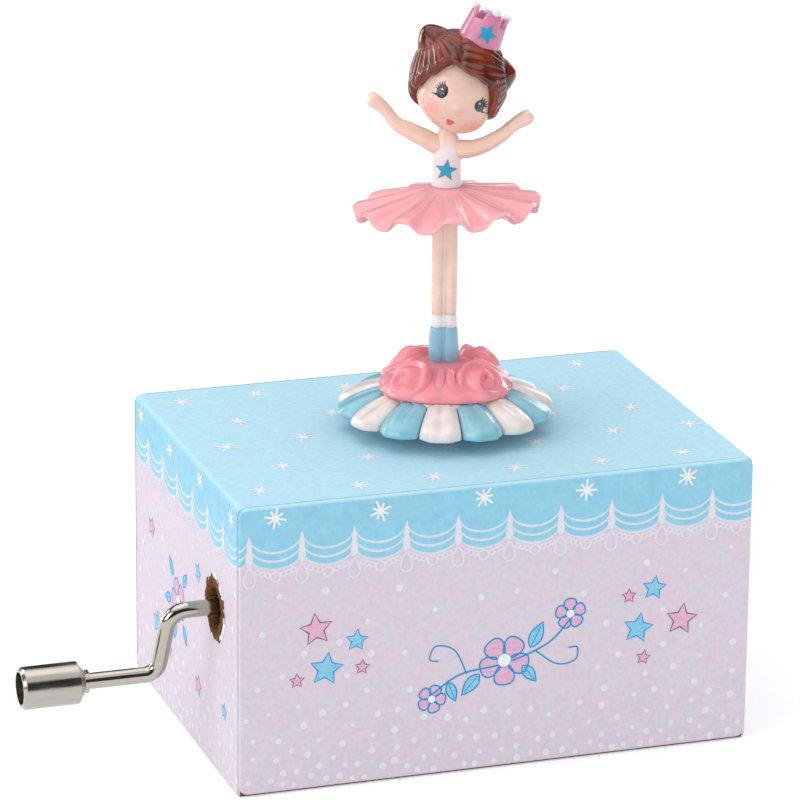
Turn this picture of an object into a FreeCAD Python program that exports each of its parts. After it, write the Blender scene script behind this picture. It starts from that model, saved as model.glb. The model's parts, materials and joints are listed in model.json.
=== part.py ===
"""A hand-cranked music box with a turning ballerina.

The box is a small papered carcass of fibreboard. A crank in its left side turns a two-start worm. The worm
drives the pinned drum of the comb movement below it, and the upright spindle of the figure behind it.
Millimetres: +X to the right along the front, +Y to the back, +Z up, origin at the centre of the base.
"""

import FreeCAD, Part
import math
import os
import re
import Sketcher

V = FreeCAD.Vector

# Driving dimensions
SIZES = {
    # box
    "box_w": 82,
    "box_d": 58,
    "box_h": 46,
    "board": 5,
    "base_board": 4,
    "paper": 0.3,
    "card": 0.6,
    "card_corner": 1.5,
    "card_edge": 0.35,
    "fold_round": 0.9,
    "paper_lift": 0.3,
    "crank_hole_r": 4.7,
    "spindle_hole_r": 3.2,
    # gear train
    "gear_module": 0.7,
    "worm_starts": 2,
    "worm_pitch_r": 2.9,
    "spindle_teeth": 38,
    "drum_teeth": 19,
    "backlash": 0.36,
    "addendum": 0.6,
    "dedendum": 0.8,
    "spindle_wheel_w": 2.5,
    "drum_wheel_w": 3,
    "worm_turns": 3,
    "running": 0.06,
    # crank
    "crank_z": 26.2,
    "rod_r": 1.25,
    "crank_out": 7.1,
    "crank_throw": 10.8,
    "crank_lean": 1.5,
    "crank_angle": 11,
    "bend_upper": 3,
    "bend_lower": 2.3,
    "knob_reach": 11.6,
    "knob_len": 9.8,
    "knob_r": 3.3,
    "knob_shoulder": 1,
    "knob_taper": 1.3,
    "knob_rim": 0.45,
    "recess_r": 2.5,
    "recess_deep": 2.8,
    "rivet_r": 1.9,
    "ear_half": 1.75,
    # movement
    "spindle_x": 1,
    "spindle_r": 1.5,
    "plate_thick": 2.5,
    "plate_left": 14,
    "plate_right": 30,
    "plate_front": 21.6,
    "plate_back": 22.6,
    "plate_round": 3,
    "post_gap": 9,
    "post_thick": 3,
    "post_half": 3,
    "screw_r": 1.25,
    "screw_head_r": 2.4,
    "small_screw_r": 1,
    "small_head_r": 1.9,
    "small_head_h": 1.3,
    "drum_r": 6.4,
    "drum_wall": 0.8,
    "drum_front": 7.5,
    "drum_len": 19,
    "pin_h": 0.5,
    "pin_w": 0.45,
    "arbor_r": 1,
    "comb_len": 20,
    "comb_thick": 1,
    "comb_gap": 0.12,
    "comb_notes": 18,
    "slot_w": 0.26,
    "slot_short": 6,
    "slot_step": 0.28,
    "comb_heel": 9.5,
    "sheet": 1.2,
    "bracket_half": 7,
    "bracket_z": 29.6,
    "bush_r": 2.5,
    "bush_rim_r": 3.8,
    "bush_rim": 0.8,
    "bush_top": 34,
    "clip": 0.6,
    # figure
    "figure_turn": -18.5,
    "rim_z": 48.4,
    "hub_z": 46.8,
    "petals": 14,
    "petal_r": 17.3,
    "mound_z": 52.6,
    "mound_r": 11,
    "mound_h": 4,
    "spindle_top": 55,
    "rose_r": 4,
    "rose_out": 6.6,
    "rose_lift": 0.9,
    "rose_lean": 50,
    "roses": 4,
    "leg_x": -0.3,
    "leg_gap": 0.98,
    "leg_r": 1.04,
    "ankle_r": 1,
    "slipper_z": 59.1,
    "slipper_h": 3.3,
    "slipper_r": 1.38,
    "skirt_low": 82.6,
    "waist_z": 84.6,
    "waist_r": 2.3,
    "skirt_r": 14.7,
    "skirt_rim_z": 81.4,
    "skirt_thick": 1,
    "skirt_waves": 11,
    "wave_h": 0.85,
    "skirt_front": 2.5,
    "skirt_pitch": 0.065,
    "skirt_lean": 0.07,
    "arm_r": 1.15,
    "hand_r": 1.25,
    "elbow_bend": 7,
    "head_x": 1.6,
    "head_z": 100.7,
    "head_tilt": 20,
    "face_r": 5.85,
    "face_h": 6.3,
    "face_drop": 0.9,
    "hair_r": 7.5,
    "bun_r": 2.3,
    "bun_x": 6.1,
    "right_bun_z": 4.7,
    "left_bun_z": 3.4,
    "crown_x": 0.55,
    "crown_y": 0.9,
    "crown_z": 7.5,
    "crown_r": 3.4,
    "crown_top_r": 2.85,
    "crown_wall": 0.55,
    "crown_foot": 2.2,
    "crown_h": 4.2,
    "crown_points": 4,
    "crown_turn": 9,
    "notch_half": 0.95,
    "notch_z": 4,
    "tip_r": 0.75,
    "crown_tilt": 4,
    "crown_back": 16,
}

doc = FreeCAD.newDocument("music_box")
sheet = doc.addObject("Spreadsheet::Sheet", "dims")
for row, (alias, number) in enumerate(SIZES.items(), 1):
    sheet.set(f"A{row}", alias)
    sheet.set(f"B{row}", str(number))
    sheet.setAlias(f"B{row}", alias)
doc.recompute()

# Expressions that several pieces share
CRANK_Y = "(-worm_pitch_r - gear_module*spindle_teeth/2)"
DRUM_Z = "(crank_z - worm_pitch_r - gear_module*drum_teeth/2)"
SIDE_OUT = "(box_w/2 - paper)"
SIDE_IN = "(box_w/2 - paper - board)"
FRONT_OUT = "(box_d/2 - card)"
FRONT_IN = "(box_d/2 - card - board)"
WALL_TOP = "(box_h - paper - board)"
PLATE_TOP = "(base_board + plate_thick)"
COMB_TIP = "(spindle_x + drum_r + pin_h + comb_gap)"
COMB_Z = "(crank_z - worm_pitch_r - gear_module*drum_teeth/2 - comb_thick/2)"
ARM_X = "(-box_w/2 - crank_out)"
HANDLE_X = "(-box_w/2 - crank_out - crank_lean)"

SPIN_X = FreeCAD.Rotation(V(0, 1, 0), 90)
SPIN_Y = FreeCAD.Rotation(V(1, 0, 0), -90)
AXES = {"x": SPIN_X, "y": SPIN_Y, "z": FreeCAD.Rotation()}
PARTS = []


def dim(expression):
    """The expression with each name in the sheet made a reference to its cell."""
    return re.sub(r"[a-z][a-z_]*", lambda m: "dims." + m[0] if m[0] in SIZES else m[0], expression)


def value(expression):
    """The number that an expression gives with the sheet as it stands."""
    return float(sheet.evalExpression(dim(expression)))


def bind(thing, **sizes):
    """Binds properties of a thing to expressions."""
    for name, expression in sizes.items():
        thing.setExpression(name, dim(expression))
    return thing


def place(thing, x="0", y="0", z="0"):
    """Binds where a thing stands."""
    for axis, expression in zip("xyz", (x, y, z)):
        thing.setExpression("Placement.Base." + axis, dim(expression))
    return thing


def part(thing, label):
    """Names a finished sub-part and keeps it for export."""
    thing.Label = label
    PARTS.append(thing)
    return thing


def slab(x, y, z):
    """A box between three pairs of bounds."""
    thing = doc.addObject("Part::Box", "slab")
    for name, (low, high) in zip(("Length", "Width", "Height"), (x, y, z)):
        thing.setExpression(name, dim(f"({high}) - ({low})"))
    return place(thing, x[0], y[0], z[0])


def rod(axis, radius, along, x="0", y="0", z="0"):
    """A cylinder along an axis between two bounds, with the other two coordinates of its centre line."""
    thing = doc.addObject("Part::Cylinder", "rod")
    bind(thing, Radius=radius, Height=f"({along[1]}) - ({along[0]})")
    thing.Placement.Rotation = AXES[axis]
    centre = {"x": x, "y": y, "z": z, axis: along[0]}
    return place(thing, **centre)


def cone(low_r, high_r, along, x="0", y="0"):
    """An upright cone between two heights."""
    thing = doc.addObject("Part::Cone", "cone")
    bind(thing, Radius1=low_r, Radius2=high_r, Height=f"({along[1]}) - ({along[0]})")
    return place(thing, x, y, along[0])


def ellipsoid(x_r, y_r, z_r, x="0", y="0", z="0"):
    """A whole ellipsoid with its three half axes."""
    thing = doc.addObject("Part::Ellipsoid", "ellipsoid")
    bind(thing, Radius1=z_r, Radius2=x_r, Radius3=y_r)
    thing.Angle1 = -90
    return place(thing, x, y, z)


def fuse(*things):
    thing = doc.addObject("Part::MultiFuse", "fuse")
    thing.Shapes = list(things)
    return thing


def group(*things):
    """Separate solids kept as one piece of the list, such as a set of screws."""
    thing = doc.addObject("Part::Compound", "group")
    thing.Links = list(things)
    return thing


def cut(base, *tools):
    thing = doc.addObject("Part::Cut", "cut")
    thing.Base = base
    thing.Tool = tools[0] if len(tools) == 1 else fuse(*tools)
    return thing


def round_edges(thing, radius, wanted):
    """Rounds the edges of a thing whose direction and middle the test wants."""
    doc.recompute()
    rounded = doc.addObject("Part::Fillet", "rounded")
    rounded.Base = thing
    size = value(radius)
    edges = []
    for index, edge in enumerate(thing.Shape.Edges, 1):
        middle = edge.CenterOfMass
        run = edge.Vertexes[-1].Point - edge.Vertexes[0].Point
        if wanted(run, middle):
            edges.append((index, size, size))
    rounded.Edges = edges
    return rounded


def feature(shape, name):
    """A thing whose shape is worked out here from the sheet."""
    thing = doc.addObject("Part::Feature", name)
    thing.Shape = shape
    return thing


def around_axis(angle, radius, z):
    """A point at an angle and a radius about the Z axis."""
    return V(radius * math.cos(angle), radius * math.sin(angle), z)


def body(name):
    return doc.addObject("PartDesign::Body", name)


def origin(owner, role):
    """One of a body's own origin planes or axes."""
    return next(o for o in owner.Origin.OriginFeatures if o.Role == role)


def sketch(owner, role):
    """An empty sketch on one of the body's origin planes."""
    made = owner.newObject("Sketcher::SketchObject", "sketch")
    made.AttachmentSupport = [(origin(owner, role), "")]
    made.MapMode = "FlatFace"
    return made


def outline(made, points):
    """A closed outline of straight lines whose corners are bound to expressions."""
    corners = [V(value(x), value(y), 0) for x, y in points]
    count = len(corners)
    for i in range(count):
        made.addGeometry(Part.LineSegment(corners[i], corners[(i + 1) % count]), False)
    for i in range(count):
        made.addConstraint(Sketcher.Constraint("Coincident", i, 2, (i + 1) % count, 1))
    for i, point in enumerate(points):
        for kind, expression, now in zip("XY", point, corners[i]):
            at = made.addConstraint(Sketcher.Constraint("Distance" + kind, -1, 1, i, 1, now))
            made.renameConstraint(at, f"corner{i}{kind}")
            made.setExpression(f"Constraints.corner{i}{kind}", dim(expression))
    return made


def ring(made, radius):
    """A circle about the sketch's origin, with its radius bound."""
    at = made.addGeometry(Part.Circle(V(), V(0, 0, 1), value(radius)), False)
    made.addConstraint(Sketcher.Constraint("Coincident", at, 3, -1, 1))
    size = made.addConstraint(Sketcher.Constraint("Radius", at, value(radius)))
    made.renameConstraint(size, f"radius{at}")
    made.setExpression(f"Constraints.radius{at}", dim(radius))
    return made


def pad(owner, made, length):
    grown = owner.newObject("PartDesign::Pad", "pad")
    grown.Profile = made
    return bind(grown, Length=length)


def revolve(owner, made, axis):
    turned = owner.newObject("PartDesign::Revolution", "revolution")
    turned.Profile = made
    turned.ReferenceAxis = (made, [axis])
    turned.Angle = 360
    return turned


# Box


def along_y(run, middle):
    return abs(run.y) > 0.1 and abs(run.x) + abs(run.z) < 1e-6


def top_fold(run, middle):
    return along_y(run, middle) and middle.z > value(WALL_TOP)


def boards():
    """The fibreboard carcass: four walls, the top on them, and the base let in between them."""
    wall = ("0", WALL_TOP)
    full_y = (f"-{FRONT_OUT}", FRONT_OUT)
    inner_x = (f"-{SIDE_IN}", SIDE_IN)
    left = slab((f"-{SIDE_OUT}", f"-{SIDE_IN}"), full_y, wall)
    crank_hole = rod("x", "crank_hole_r", ("-box_w", "0"), y=CRANK_Y, z="crank_z")
    part(cut(left, crank_hole), "left_board")
    part(slab((SIDE_IN, SIDE_OUT), full_y, wall), "right_board")
    part(slab(inner_x, (f"-{FRONT_OUT}", f"-{FRONT_IN}"), wall), "front_board")
    part(slab(inner_x, (FRONT_IN, FRONT_OUT), wall), "back_board")
    top = slab((f"-{SIDE_OUT}", SIDE_OUT), full_y, (WALL_TOP, "box_h - paper"))
    folded = round_edges(top, "fold_round - paper", lambda run, middle: along_y(run, middle)
                         and middle.z > value("box_h - paper") - 1e-6)
    part(cut(folded, rod("z", "spindle_hole_r", ("0", "box_h"), x="spindle_x")), "top_board")


def papers():
    """The printed covering: one sheet over the sides and top, and a wrapped card on the front and the back."""
    depth = (f"-{FRONT_OUT}", FRONT_OUT)
    outside = slab(("-box_w/2", "box_w/2"), depth, ("paper_lift", "box_h"))
    inside = slab((f"-{SIDE_OUT}", SIDE_OUT), ("-box_d", "box_d"), ("0", "box_h - paper"))
    shell = cut(
        round_edges(outside, "fold_round", top_fold),
        round_edges(inside, "fold_round - paper", top_fold),
        rod("x", "crank_hole_r", ("-box_w", "0"), y=CRANK_Y, z="crank_z"),
        rod("z", "spindle_hole_r", (WALL_TOP, "box_h + board"), x="spindle_x"),
    )
    part(shell, "wrap_paper")
    cards = (("front_card", "-box_d/2", f"-{FRONT_OUT}", -1), ("back_card", FRONT_OUT, "box_d/2", 1))
    for label, low, high, outer in cards:
        blank = slab(("-box_w/2", "box_w/2"), (low, high), ("paper_lift", "box_h"))
        cornered = round_edges(blank, "card_corner", along_y)
        face_y = outer * value("box_d/2")
        part(round_edges(cornered, "card_edge", lambda run, middle: abs(middle.y - face_y) < 1e-6), label)


PLATE_SCREWS = (
    ("spindle_x - plate_left + 4", "-8"),
    ("spindle_x - plate_left + 4", "plate_back - 4"),
    ("spindle_x + plate_right - 4", "4 - plate_front"),
    ("spindle_x + plate_right - 4", "plate_back - 4"),
)
HEAD_LIFT = "0.2"
HEAD_TOP = "(0.2 + screw_head_r - screw_r)"


def base_board():
    """The base, countersunk from below for the screws that carry the movement."""
    plain = slab((f"-{SIDE_IN}", SIDE_IN), (f"-{FRONT_IN}", FRONT_IN), ("0", "base_board"))
    holes = []
    for x, y in PLATE_SCREWS:
        holes.append(cone("screw_head_r + 0.2", "screw_r", ("0", HEAD_TOP), x, y))
        holes.append(rod("z", "screw_r", ("0", "base_board"), x=x, y=y))
    part(cut(plain, *holes), "base_board")
    screws = []
    for x, y in PLATE_SCREWS:
        head = cone("screw_head_r", "screw_r", (HEAD_LIFT, HEAD_TOP), x, y)
        shank = rod("z", "screw_r", (HEAD_TOP, f"{PLATE_TOP} + 2"), x=x, y=y)
        slot = slab((f"{x} - screw_head_r", f"{x} + screw_head_r"), (f"{y} - 0.3", f"{y} + 0.3"), ("0", "0.8"))
        screws.append(cut(fuse(head, shank), slot))
    part(group(*screws), "movement_screws")


# Movement

COMB_SCREWS_Y = ("-3", "7")
COMB_SCREW_X = f"({COMB_TIP} + comb_len - comb_heel/2)"
BRACKET_SCREWS_X = ("spindle_x - 4", "spindle_x + 4")
BRACKET_SCREW_Y = "(plate_back - 2.6)"
ARBOR_FRONT = "(-plate_front + 1)"
ARBOR_BACK = "(drum_len - drum_front + 3.5)"


def post(x, y, top, axis):
    """An upright of the bedplate with a round head about a bearing at its top."""
    stem = slab(x, y, ("base_board", top))
    middle = [f"(({low}) + ({high}))/2" for low, high in (x, y)]
    if axis == "x":
        return stem, rod("x", "post_half", x, y=middle[1], z=top)
    return stem, rod("y", "post_half", y, x=middle[0], z=top)


def bedplate():
    """The cast frame: a plate with bearing posts for the crank and the drum, a comb seat and screw bosses."""
    left, right = "spindle_x - plate_left", "spindle_x + plate_right"
    plate = slab((left, right), ("-plate_front", "plate_back"), ("base_board", PLATE_TOP))
    rounded = round_edges(plate, "plate_round", lambda run, middle: abs(run.z) > 1)
    bosses = [rod("z", "post_half", ("base_board", f"{PLATE_TOP} + 2.5"), x=x, y=y) for x, y in PLATE_SCREWS]
    beside_crank = (f"{CRANK_Y} - post_half", f"{CRANK_Y} + post_half")
    posts = []
    for low in ("spindle_x - post_gap - post_thick", "spindle_x + post_gap"):
        posts += post((low, f"{low} + post_thick"), beside_crank, "crank_z", "x")
    beside_drum = ("spindle_x - post_half", "spindle_x + post_half")
    for low, high in ((ARBOR_FRONT, f"{ARBOR_FRONT} + 2.2"), (f"{ARBOR_BACK} - 2.4", ARBOR_BACK)):
        posts += post(beside_drum, (low, high), DRUM_Z, "y")
    heel = (f"{COMB_TIP} + comb_len - comb_heel", right)
    seat = slab(heel, ("-drum_front - 1", "drum_len - drum_front + 1"), ("base_board", COMB_Z))
    holes = [
        rod("x", "rod_r + running", (left, right), y=CRANK_Y, z="crank_z"),
        rod("y", "arbor_r + running", ("-plate_front", "plate_back"), x="spindle_x", z=DRUM_Z),
    ]
    for x, y in PLATE_SCREWS:
        holes.append(rod("z", "screw_r", ("base_board", f"{PLATE_TOP} + 2"), x=x, y=y))
    for y in COMB_SCREWS_Y:
        holes.append(rod("z", "small_screw_r", (PLATE_TOP, COMB_Z), x=COMB_SCREW_X, y=y))
    for x in BRACKET_SCREWS_X:
        holes.append(rod("z", "small_screw_r", ("base_board", PLATE_TOP), x=x, y=BRACKET_SCREW_Y))
    part(cut(fuse(rounded, *bosses, *posts, seat), *holes), "bedplate")


def cheese_screw(x, y, seat, bottom):
    """A small slotted screw with its head on a seat."""
    top = f"{seat} + small_head_h"
    head = rod("z", "small_head_r", (seat, top), x=x, y=y)
    shank = rod("z", "small_screw_r", (bottom, seat), x=x, y=y)
    across = (f"{x} - small_head_r", f"{x} + small_head_r")
    slot = slab(across, (f"{y} - 0.25", f"{y} + 0.25"), (f"{top} - 0.6", top))
    return cut(fuse(head, shank), slot)


def comb():
    """The steel comb: graded teeth over the drum, thinned below, with bass weights under the longest ones."""
    width = ("-drum_front - 0.5", "drum_len - drum_front + 0.5")
    top = f"{COMB_Z} + comb_thick"
    plate = slab((COMB_TIP, f"{COMB_TIP} + comb_len"), width, (COMB_Z, top))
    thinned = slab((COMB_TIP, f"{COMB_TIP} + comb_len - comb_heel - 1"), width, (COMB_Z, f"{COMB_Z} + 0.4"))
    pitch = "(drum_len/comb_notes)"
    slots = []
    weights = []
    for note in range(1, SIZES["comb_notes"]):
        y = f"(-drum_front + {note}*{pitch})"
        root = f"{COMB_TIP} + slot_short + slot_step*{SIZES['comb_notes'] - note}"
        slots.append(slab((COMB_TIP, root), (f"{y} - slot_w/2", f"{y} + slot_w/2"), (COMB_Z, top)))
        if note <= 6:
            run = (f"{COMB_TIP} + 0.4", f"{COMB_TIP} + 3.4 - 0.3*{note}")
            span = (f"{y} - {pitch} + slot_w/2", f"{y} - slot_w/2")
            weights.append(slab(run, span, (f"{COMB_Z} - 1.2 + 0.1*{note}", f"{COMB_Z} + 0.4")))
    holes = [rod("z", "small_screw_r", (COMB_Z, top), x=COMB_SCREW_X, y=y) for y in COMB_SCREWS_Y]
    part(fuse(cut(plate, thinned, *slots, *holes), *weights), "comb")
    screws = [cheese_screw(COMB_SCREW_X, y, top, PLATE_TOP) for y in COMB_SCREWS_Y]
    part(group(*screws), "comb_screws")


def drum():
    """The pinned drum: a tube with a spiral scatter of pins, closed by two caps on an arbor."""
    front, back = "-drum_front", "(drum_len - drum_front)"
    centre = {"x": "spindle_x", "z": DRUM_Z}
    outside = rod("y", "drum_r", (front, back), **centre)
    tube = cut(outside, rod("y", "drum_r - drum_wall", (front, back), **centre))
    pitch = value("drum_len/comb_notes")
    half = value("pin_w/2")
    reach = value("drum_r + pin_h")
    root = value("drum_r - drum_wall/2")
    steps_per_turn = 32
    pins = []
    for note in range(SIZES["comb_notes"]):
        for beat in range(3):
            angle = 360.0 / steps_per_turn * ((7 * note + 11 * beat) % steps_per_turn)
            y = value(front) + (note + 0.5) * pitch
            pin = Part.makeBox(2 * half, 2 * half, reach - root, V(-half, y - half, root))
            pin.rotate(V(), V(0, 1, 0), angle)
            pin.translate(V(value("spindle_x"), 0, value(DRUM_Z)))
            pins.append(pin)
    part(fuse(tube, feature(Part.makeCompound(pins), "pins")), "drum")
    caps = []
    for low, high in ((front, f"{front} + 1.2"), (f"{back} - 1.2", back)):
        disc = rod("y", "drum_r - drum_wall", (low, high), **centre)
        caps.append(cut(disc, rod("y", "arbor_r", (low, high), **centre)))
    part(group(*caps), "drum_caps")
    part(rod("y", "arbor_r", (ARBOR_FRONT, ARBOR_BACK), **centre), "drum_arbor")


def toothed_disc(teeth, width, gap_in_mesh):
    """A disc of slanted teeth about Z, centred on the origin, that meshes with the worm on its -Y side."""
    pitch_r = value(f"gear_module*{teeth}/2")
    thick = value("(gear_module*pi - backlash)/4")
    slope = math.tan(math.radians(20))
    root_r, root = pitch_r - value("dedendum"), thick + value("dedendum") * slope
    tip_r, tip = pitch_r + value("addendum"), thick - value("addendum") * slope
    twist = value(f"{width}*gear_module*worm_starts/(4*worm_pitch_r)") / pitch_r
    step = 2 * math.pi / teeth
    first = -math.pi / 2 + (step / 2 if gap_in_mesh else 0)
    rims = []
    for turn, z in ((-twist, -value(width) / 2), (twist, value(width) / 2)):
        points = []
        for tooth in range(teeth):
            middle = first + turn + tooth * step
            for radius, offset in ((root_r, -root), (tip_r, -tip), (tip_r, tip), (root_r, root)):
                points.append(around_axis(middle + offset / radius, radius, z))
        rims.append(Part.makePolygon(points + points[:1]))
    return Part.makeLoft(rims, True, True)


def gears():
    """The drum's wheel below the worm and the spindle's wheel behind it."""
    width = "drum_wheel_w"
    rim = feature(toothed_disc(SIZES["drum_teeth"], width, True), "drum_rim")
    rim.Placement.Rotation = SPIN_Y
    place(rim, "spindle_x", CRANK_Y, DRUM_Z)
    centre = {"x": "spindle_x", "z": DRUM_Z}
    hub = rod("y", "arbor_r + 2", (f"{CRANK_Y} - {width}/2", "-drum_front"), **centre)
    bore = rod("y", "arbor_r", (f"{CRANK_Y} - {width}", "0"), **centre)
    part(cut(fuse(rim, hub), bore), "drum_wheel")

    width = "spindle_wheel_w"
    rim = feature(toothed_disc(SIZES["spindle_teeth"], width, False), "spindle_rim")
    place(rim, "spindle_x", "0", "crank_z")
    low = f"crank_z - {width}/2"
    hub = rod("z", "spindle_r + 2", (low, "bracket_z - 0.1"), x="spindle_x")
    holes = [rod("z", "spindle_r", (low, "bracket_z"), x="spindle_x")]
    for x, y in ((1, 0), (0, 1), (-1, 0), (0, -1)):
        window = rod("z", "2.6", (low, f"crank_z + {width}/2"), x=f"spindle_x + 7.6*{x}", y=f"7.6*{y}")
        holes.append(window)
    part(cut(fuse(rim, hub), *holes), "spindle_wheel")


def worm():
    """The two-start worm on the crank: a core between the posts with one thread, patterned about its axis."""
    owner = body("worm_body")
    length = "(2*post_gap - 0.2)"
    pad(owner, ring(ring(sketch(owner, "XY_Plane"), "worm_pitch_r - dedendum"), "rod_r"), length)
    doc.recompute()
    half = "(gear_module*pi - backlash)/4"
    lead = "gear_module*pi*worm_starts"
    start = f"({length}/2 - {lead}*worm_turns/2)"
    root, tip = "worm_pitch_r - dedendum - 0.2", "worm_pitch_r + addendum"
    wide, narrow = f"({half} + (dedendum + 0.2)*tan(20))", f"({half} - addendum*tan(20))"
    corners = (
        (root, f"{start} - {wide}"),
        (tip, f"{start} - {narrow}"),
        (tip, f"{start} + {narrow}"),
        (root, f"{start} + {wide}"),
    )
    thread = owner.newObject("PartDesign::AdditiveHelix", "thread")
    thread.Profile = outline(sketch(owner, "XZ_Plane"), corners)
    thread.ReferenceAxis = (origin(owner, "Z_Axis"), [""])
    thread.Mode = "pitch-height-angle"
    bind(thread, Pitch=lead, Height=f"{lead}*worm_turns")
    doc.recompute()
    starts = owner.newObject("PartDesign::PolarPattern", "starts")
    starts.Originals = [thread]
    starts.Axis = (origin(owner, "Z_Axis"), [""])
    starts.Angle = 360
    bind(starts, Occurrences="worm_starts")
    owner.Tip = starts
    owner.Placement.Rotation = SPIN_X
    place(owner, f"spindle_x - {length}/2", CRANK_Y, "crank_z")
    part(owner, "crank_worm")


def clip(axis, shaft_r, along, **centre):
    """A spring clip: a flat ring with a mouth, snapped on a shaft."""
    disc = rod(axis, f"{shaft_r} + 1.5", along, **centre)
    hole = rod(axis, shaft_r, along, **centre)
    wide = f"{shaft_r}*0.8"
    across = {name: (f"{at} - {wide}", f"{at} + {wide}") for name, at in centre.items()}
    across[axis] = along
    first = sorted(centre)[0]
    across[first] = (centre[first], f"{centre[first]} + {shaft_r} + 2")
    return cut(disc, hole, slab(across["x"], across["y"], across["z"]))


def spindle_bracket():
    """The bent sheet bracket that carries the spindle's bush, with its two screws."""
    x = ("spindle_x - bracket_half", "spindle_x + bracket_half")
    foot_z = (PLATE_TOP, f"{PLATE_TOP} + sheet")
    arm_z = ("bracket_z", "bracket_z + sheet")
    leg_y = ("plate_back - 6.4", "plate_back - 6.4 + sheet")
    foot = slab(x, (leg_y[0], "plate_back - 0.4"), foot_z)
    leg = slab(x, leg_y, (PLATE_TOP, arm_z[1]))
    arm = slab(x, ("0", leg_y[1]), arm_z)
    nose = rod("z", "bracket_half", arm_z, x="spindle_x")

    def outer_bend(run, middle):
        straight = abs(run.x) > 10 and abs(run.y) + abs(run.z) < 1e-6
        return straight and abs(middle.y - value(leg_y[1])) < 1e-6 and middle.z > value("bracket_z")

    bent = round_edges(fuse(foot, leg, arm, nose), "sheet", outer_bend)
    holes = [rod("z", "bush_r", arm_z, x="spindle_x")]
    screws = []
    for at in BRACKET_SCREWS_X:
        holes.append(rod("z", "small_screw_r", foot_z, x=at, y=BRACKET_SCREW_Y))
        screws.append(cheese_screw(at, BRACKET_SCREW_Y, foot_z[1], "base_board + 0.5"))
    part(cut(bent, *holes), "spindle_bracket")
    part(group(*screws), "bracket_screws")


def turned_bush(name, corners, label):
    """A bush about the spindle, turned from an outline of radius and height."""
    owner = body(name)
    revolve(owner, outline(sketch(owner, "XZ_Plane"), corners), "V_Axis")
    part(place(owner, "spindle_x"), label)


def spindle_parts():
    """The upright spindle, its bracket, bush and clip on the bedplate, and the guide bush in the top board."""
    foot = "crank_z - spindle_wheel_w/2 - 0.6"
    part(rod("z", "spindle_r", (foot, "spindle_top"), x="spindle_x"), "spindle")
    spindle_bracket()
    bore, seat = "spindle_r + running", "bracket_z + sheet"
    rim_top = f"{seat} + bush_rim"
    turned_bush("bush_body", (
        (bore, "bracket_z"), ("bush_r", "bracket_z"), ("bush_r", seat), ("bush_rim_r", seat),
        ("bush_rim_r", rim_top), ("bush_r", rim_top), ("bush_r", "bush_top"), (bore, "bush_top"),
    ), "spindle_bush")
    along = ("bush_top + 0.05", "bush_top + 0.05 + clip")
    part(clip("z", "spindle_r", along, x="spindle_x", y="0"), "spindle_clip")
    bore, rim = "spindle_r + 0.1", "spindle_hole_r + 1.4"
    low, top = f"{WALL_TOP} - 1", "box_h - 0.1"
    turned_bush("guide_body", (
        (bore, low), (rim, low), (rim, WALL_TOP),
        ("spindle_hole_r", WALL_TOP), ("spindle_hole_r", top), (bore, top),
    ), "top_bush")


# Crank


def rounded_path(points, radii):
    """Straight runs through the points, joined by an arc of the given radius at each inner one."""
    edges = []
    start = points[0]
    for before, corner, after, radius in zip(points, points[1:], points[2:], radii):
        back = (before - corner).normalize()
        on = (after - corner).normalize()
        half = back.getAngle(on) / 2
        reach = radius / math.tan(half)
        middle = corner + (back + on).normalize() * (radius / math.sin(half) - radius)
        enter, leave = corner + back * reach, corner + on * reach
        edges.append(Part.LineSegment(start, enter).toShape())
        edges.append(Part.Arc(enter, middle, leave).toShape())
        start = leave
    edges.append(Part.LineSegment(start, points[-1]).toShape())
    return Part.Wire(edges)


def bent_rod(points, bends, radius):
    """A round rod swept along straight runs with a bend at each inner point."""
    path = feature(rounded_path(points, bends), "rod_path")
    section = doc.addObject("Part::Circle", "rod_section")
    bind(section, Radius=radius)
    section.Placement = FreeCAD.Placement(points[0], FreeCAD.Rotation(V(0, 0, 1), points[1] - points[0]))
    swept = doc.addObject("Part::Sweep", "bent_rod")
    swept.Sections = [section]
    swept.Spine = (path, [f"Edge{i + 1}" for i in range(len(path.Shape.Edges))])
    swept.Solid = True
    return swept


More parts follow.
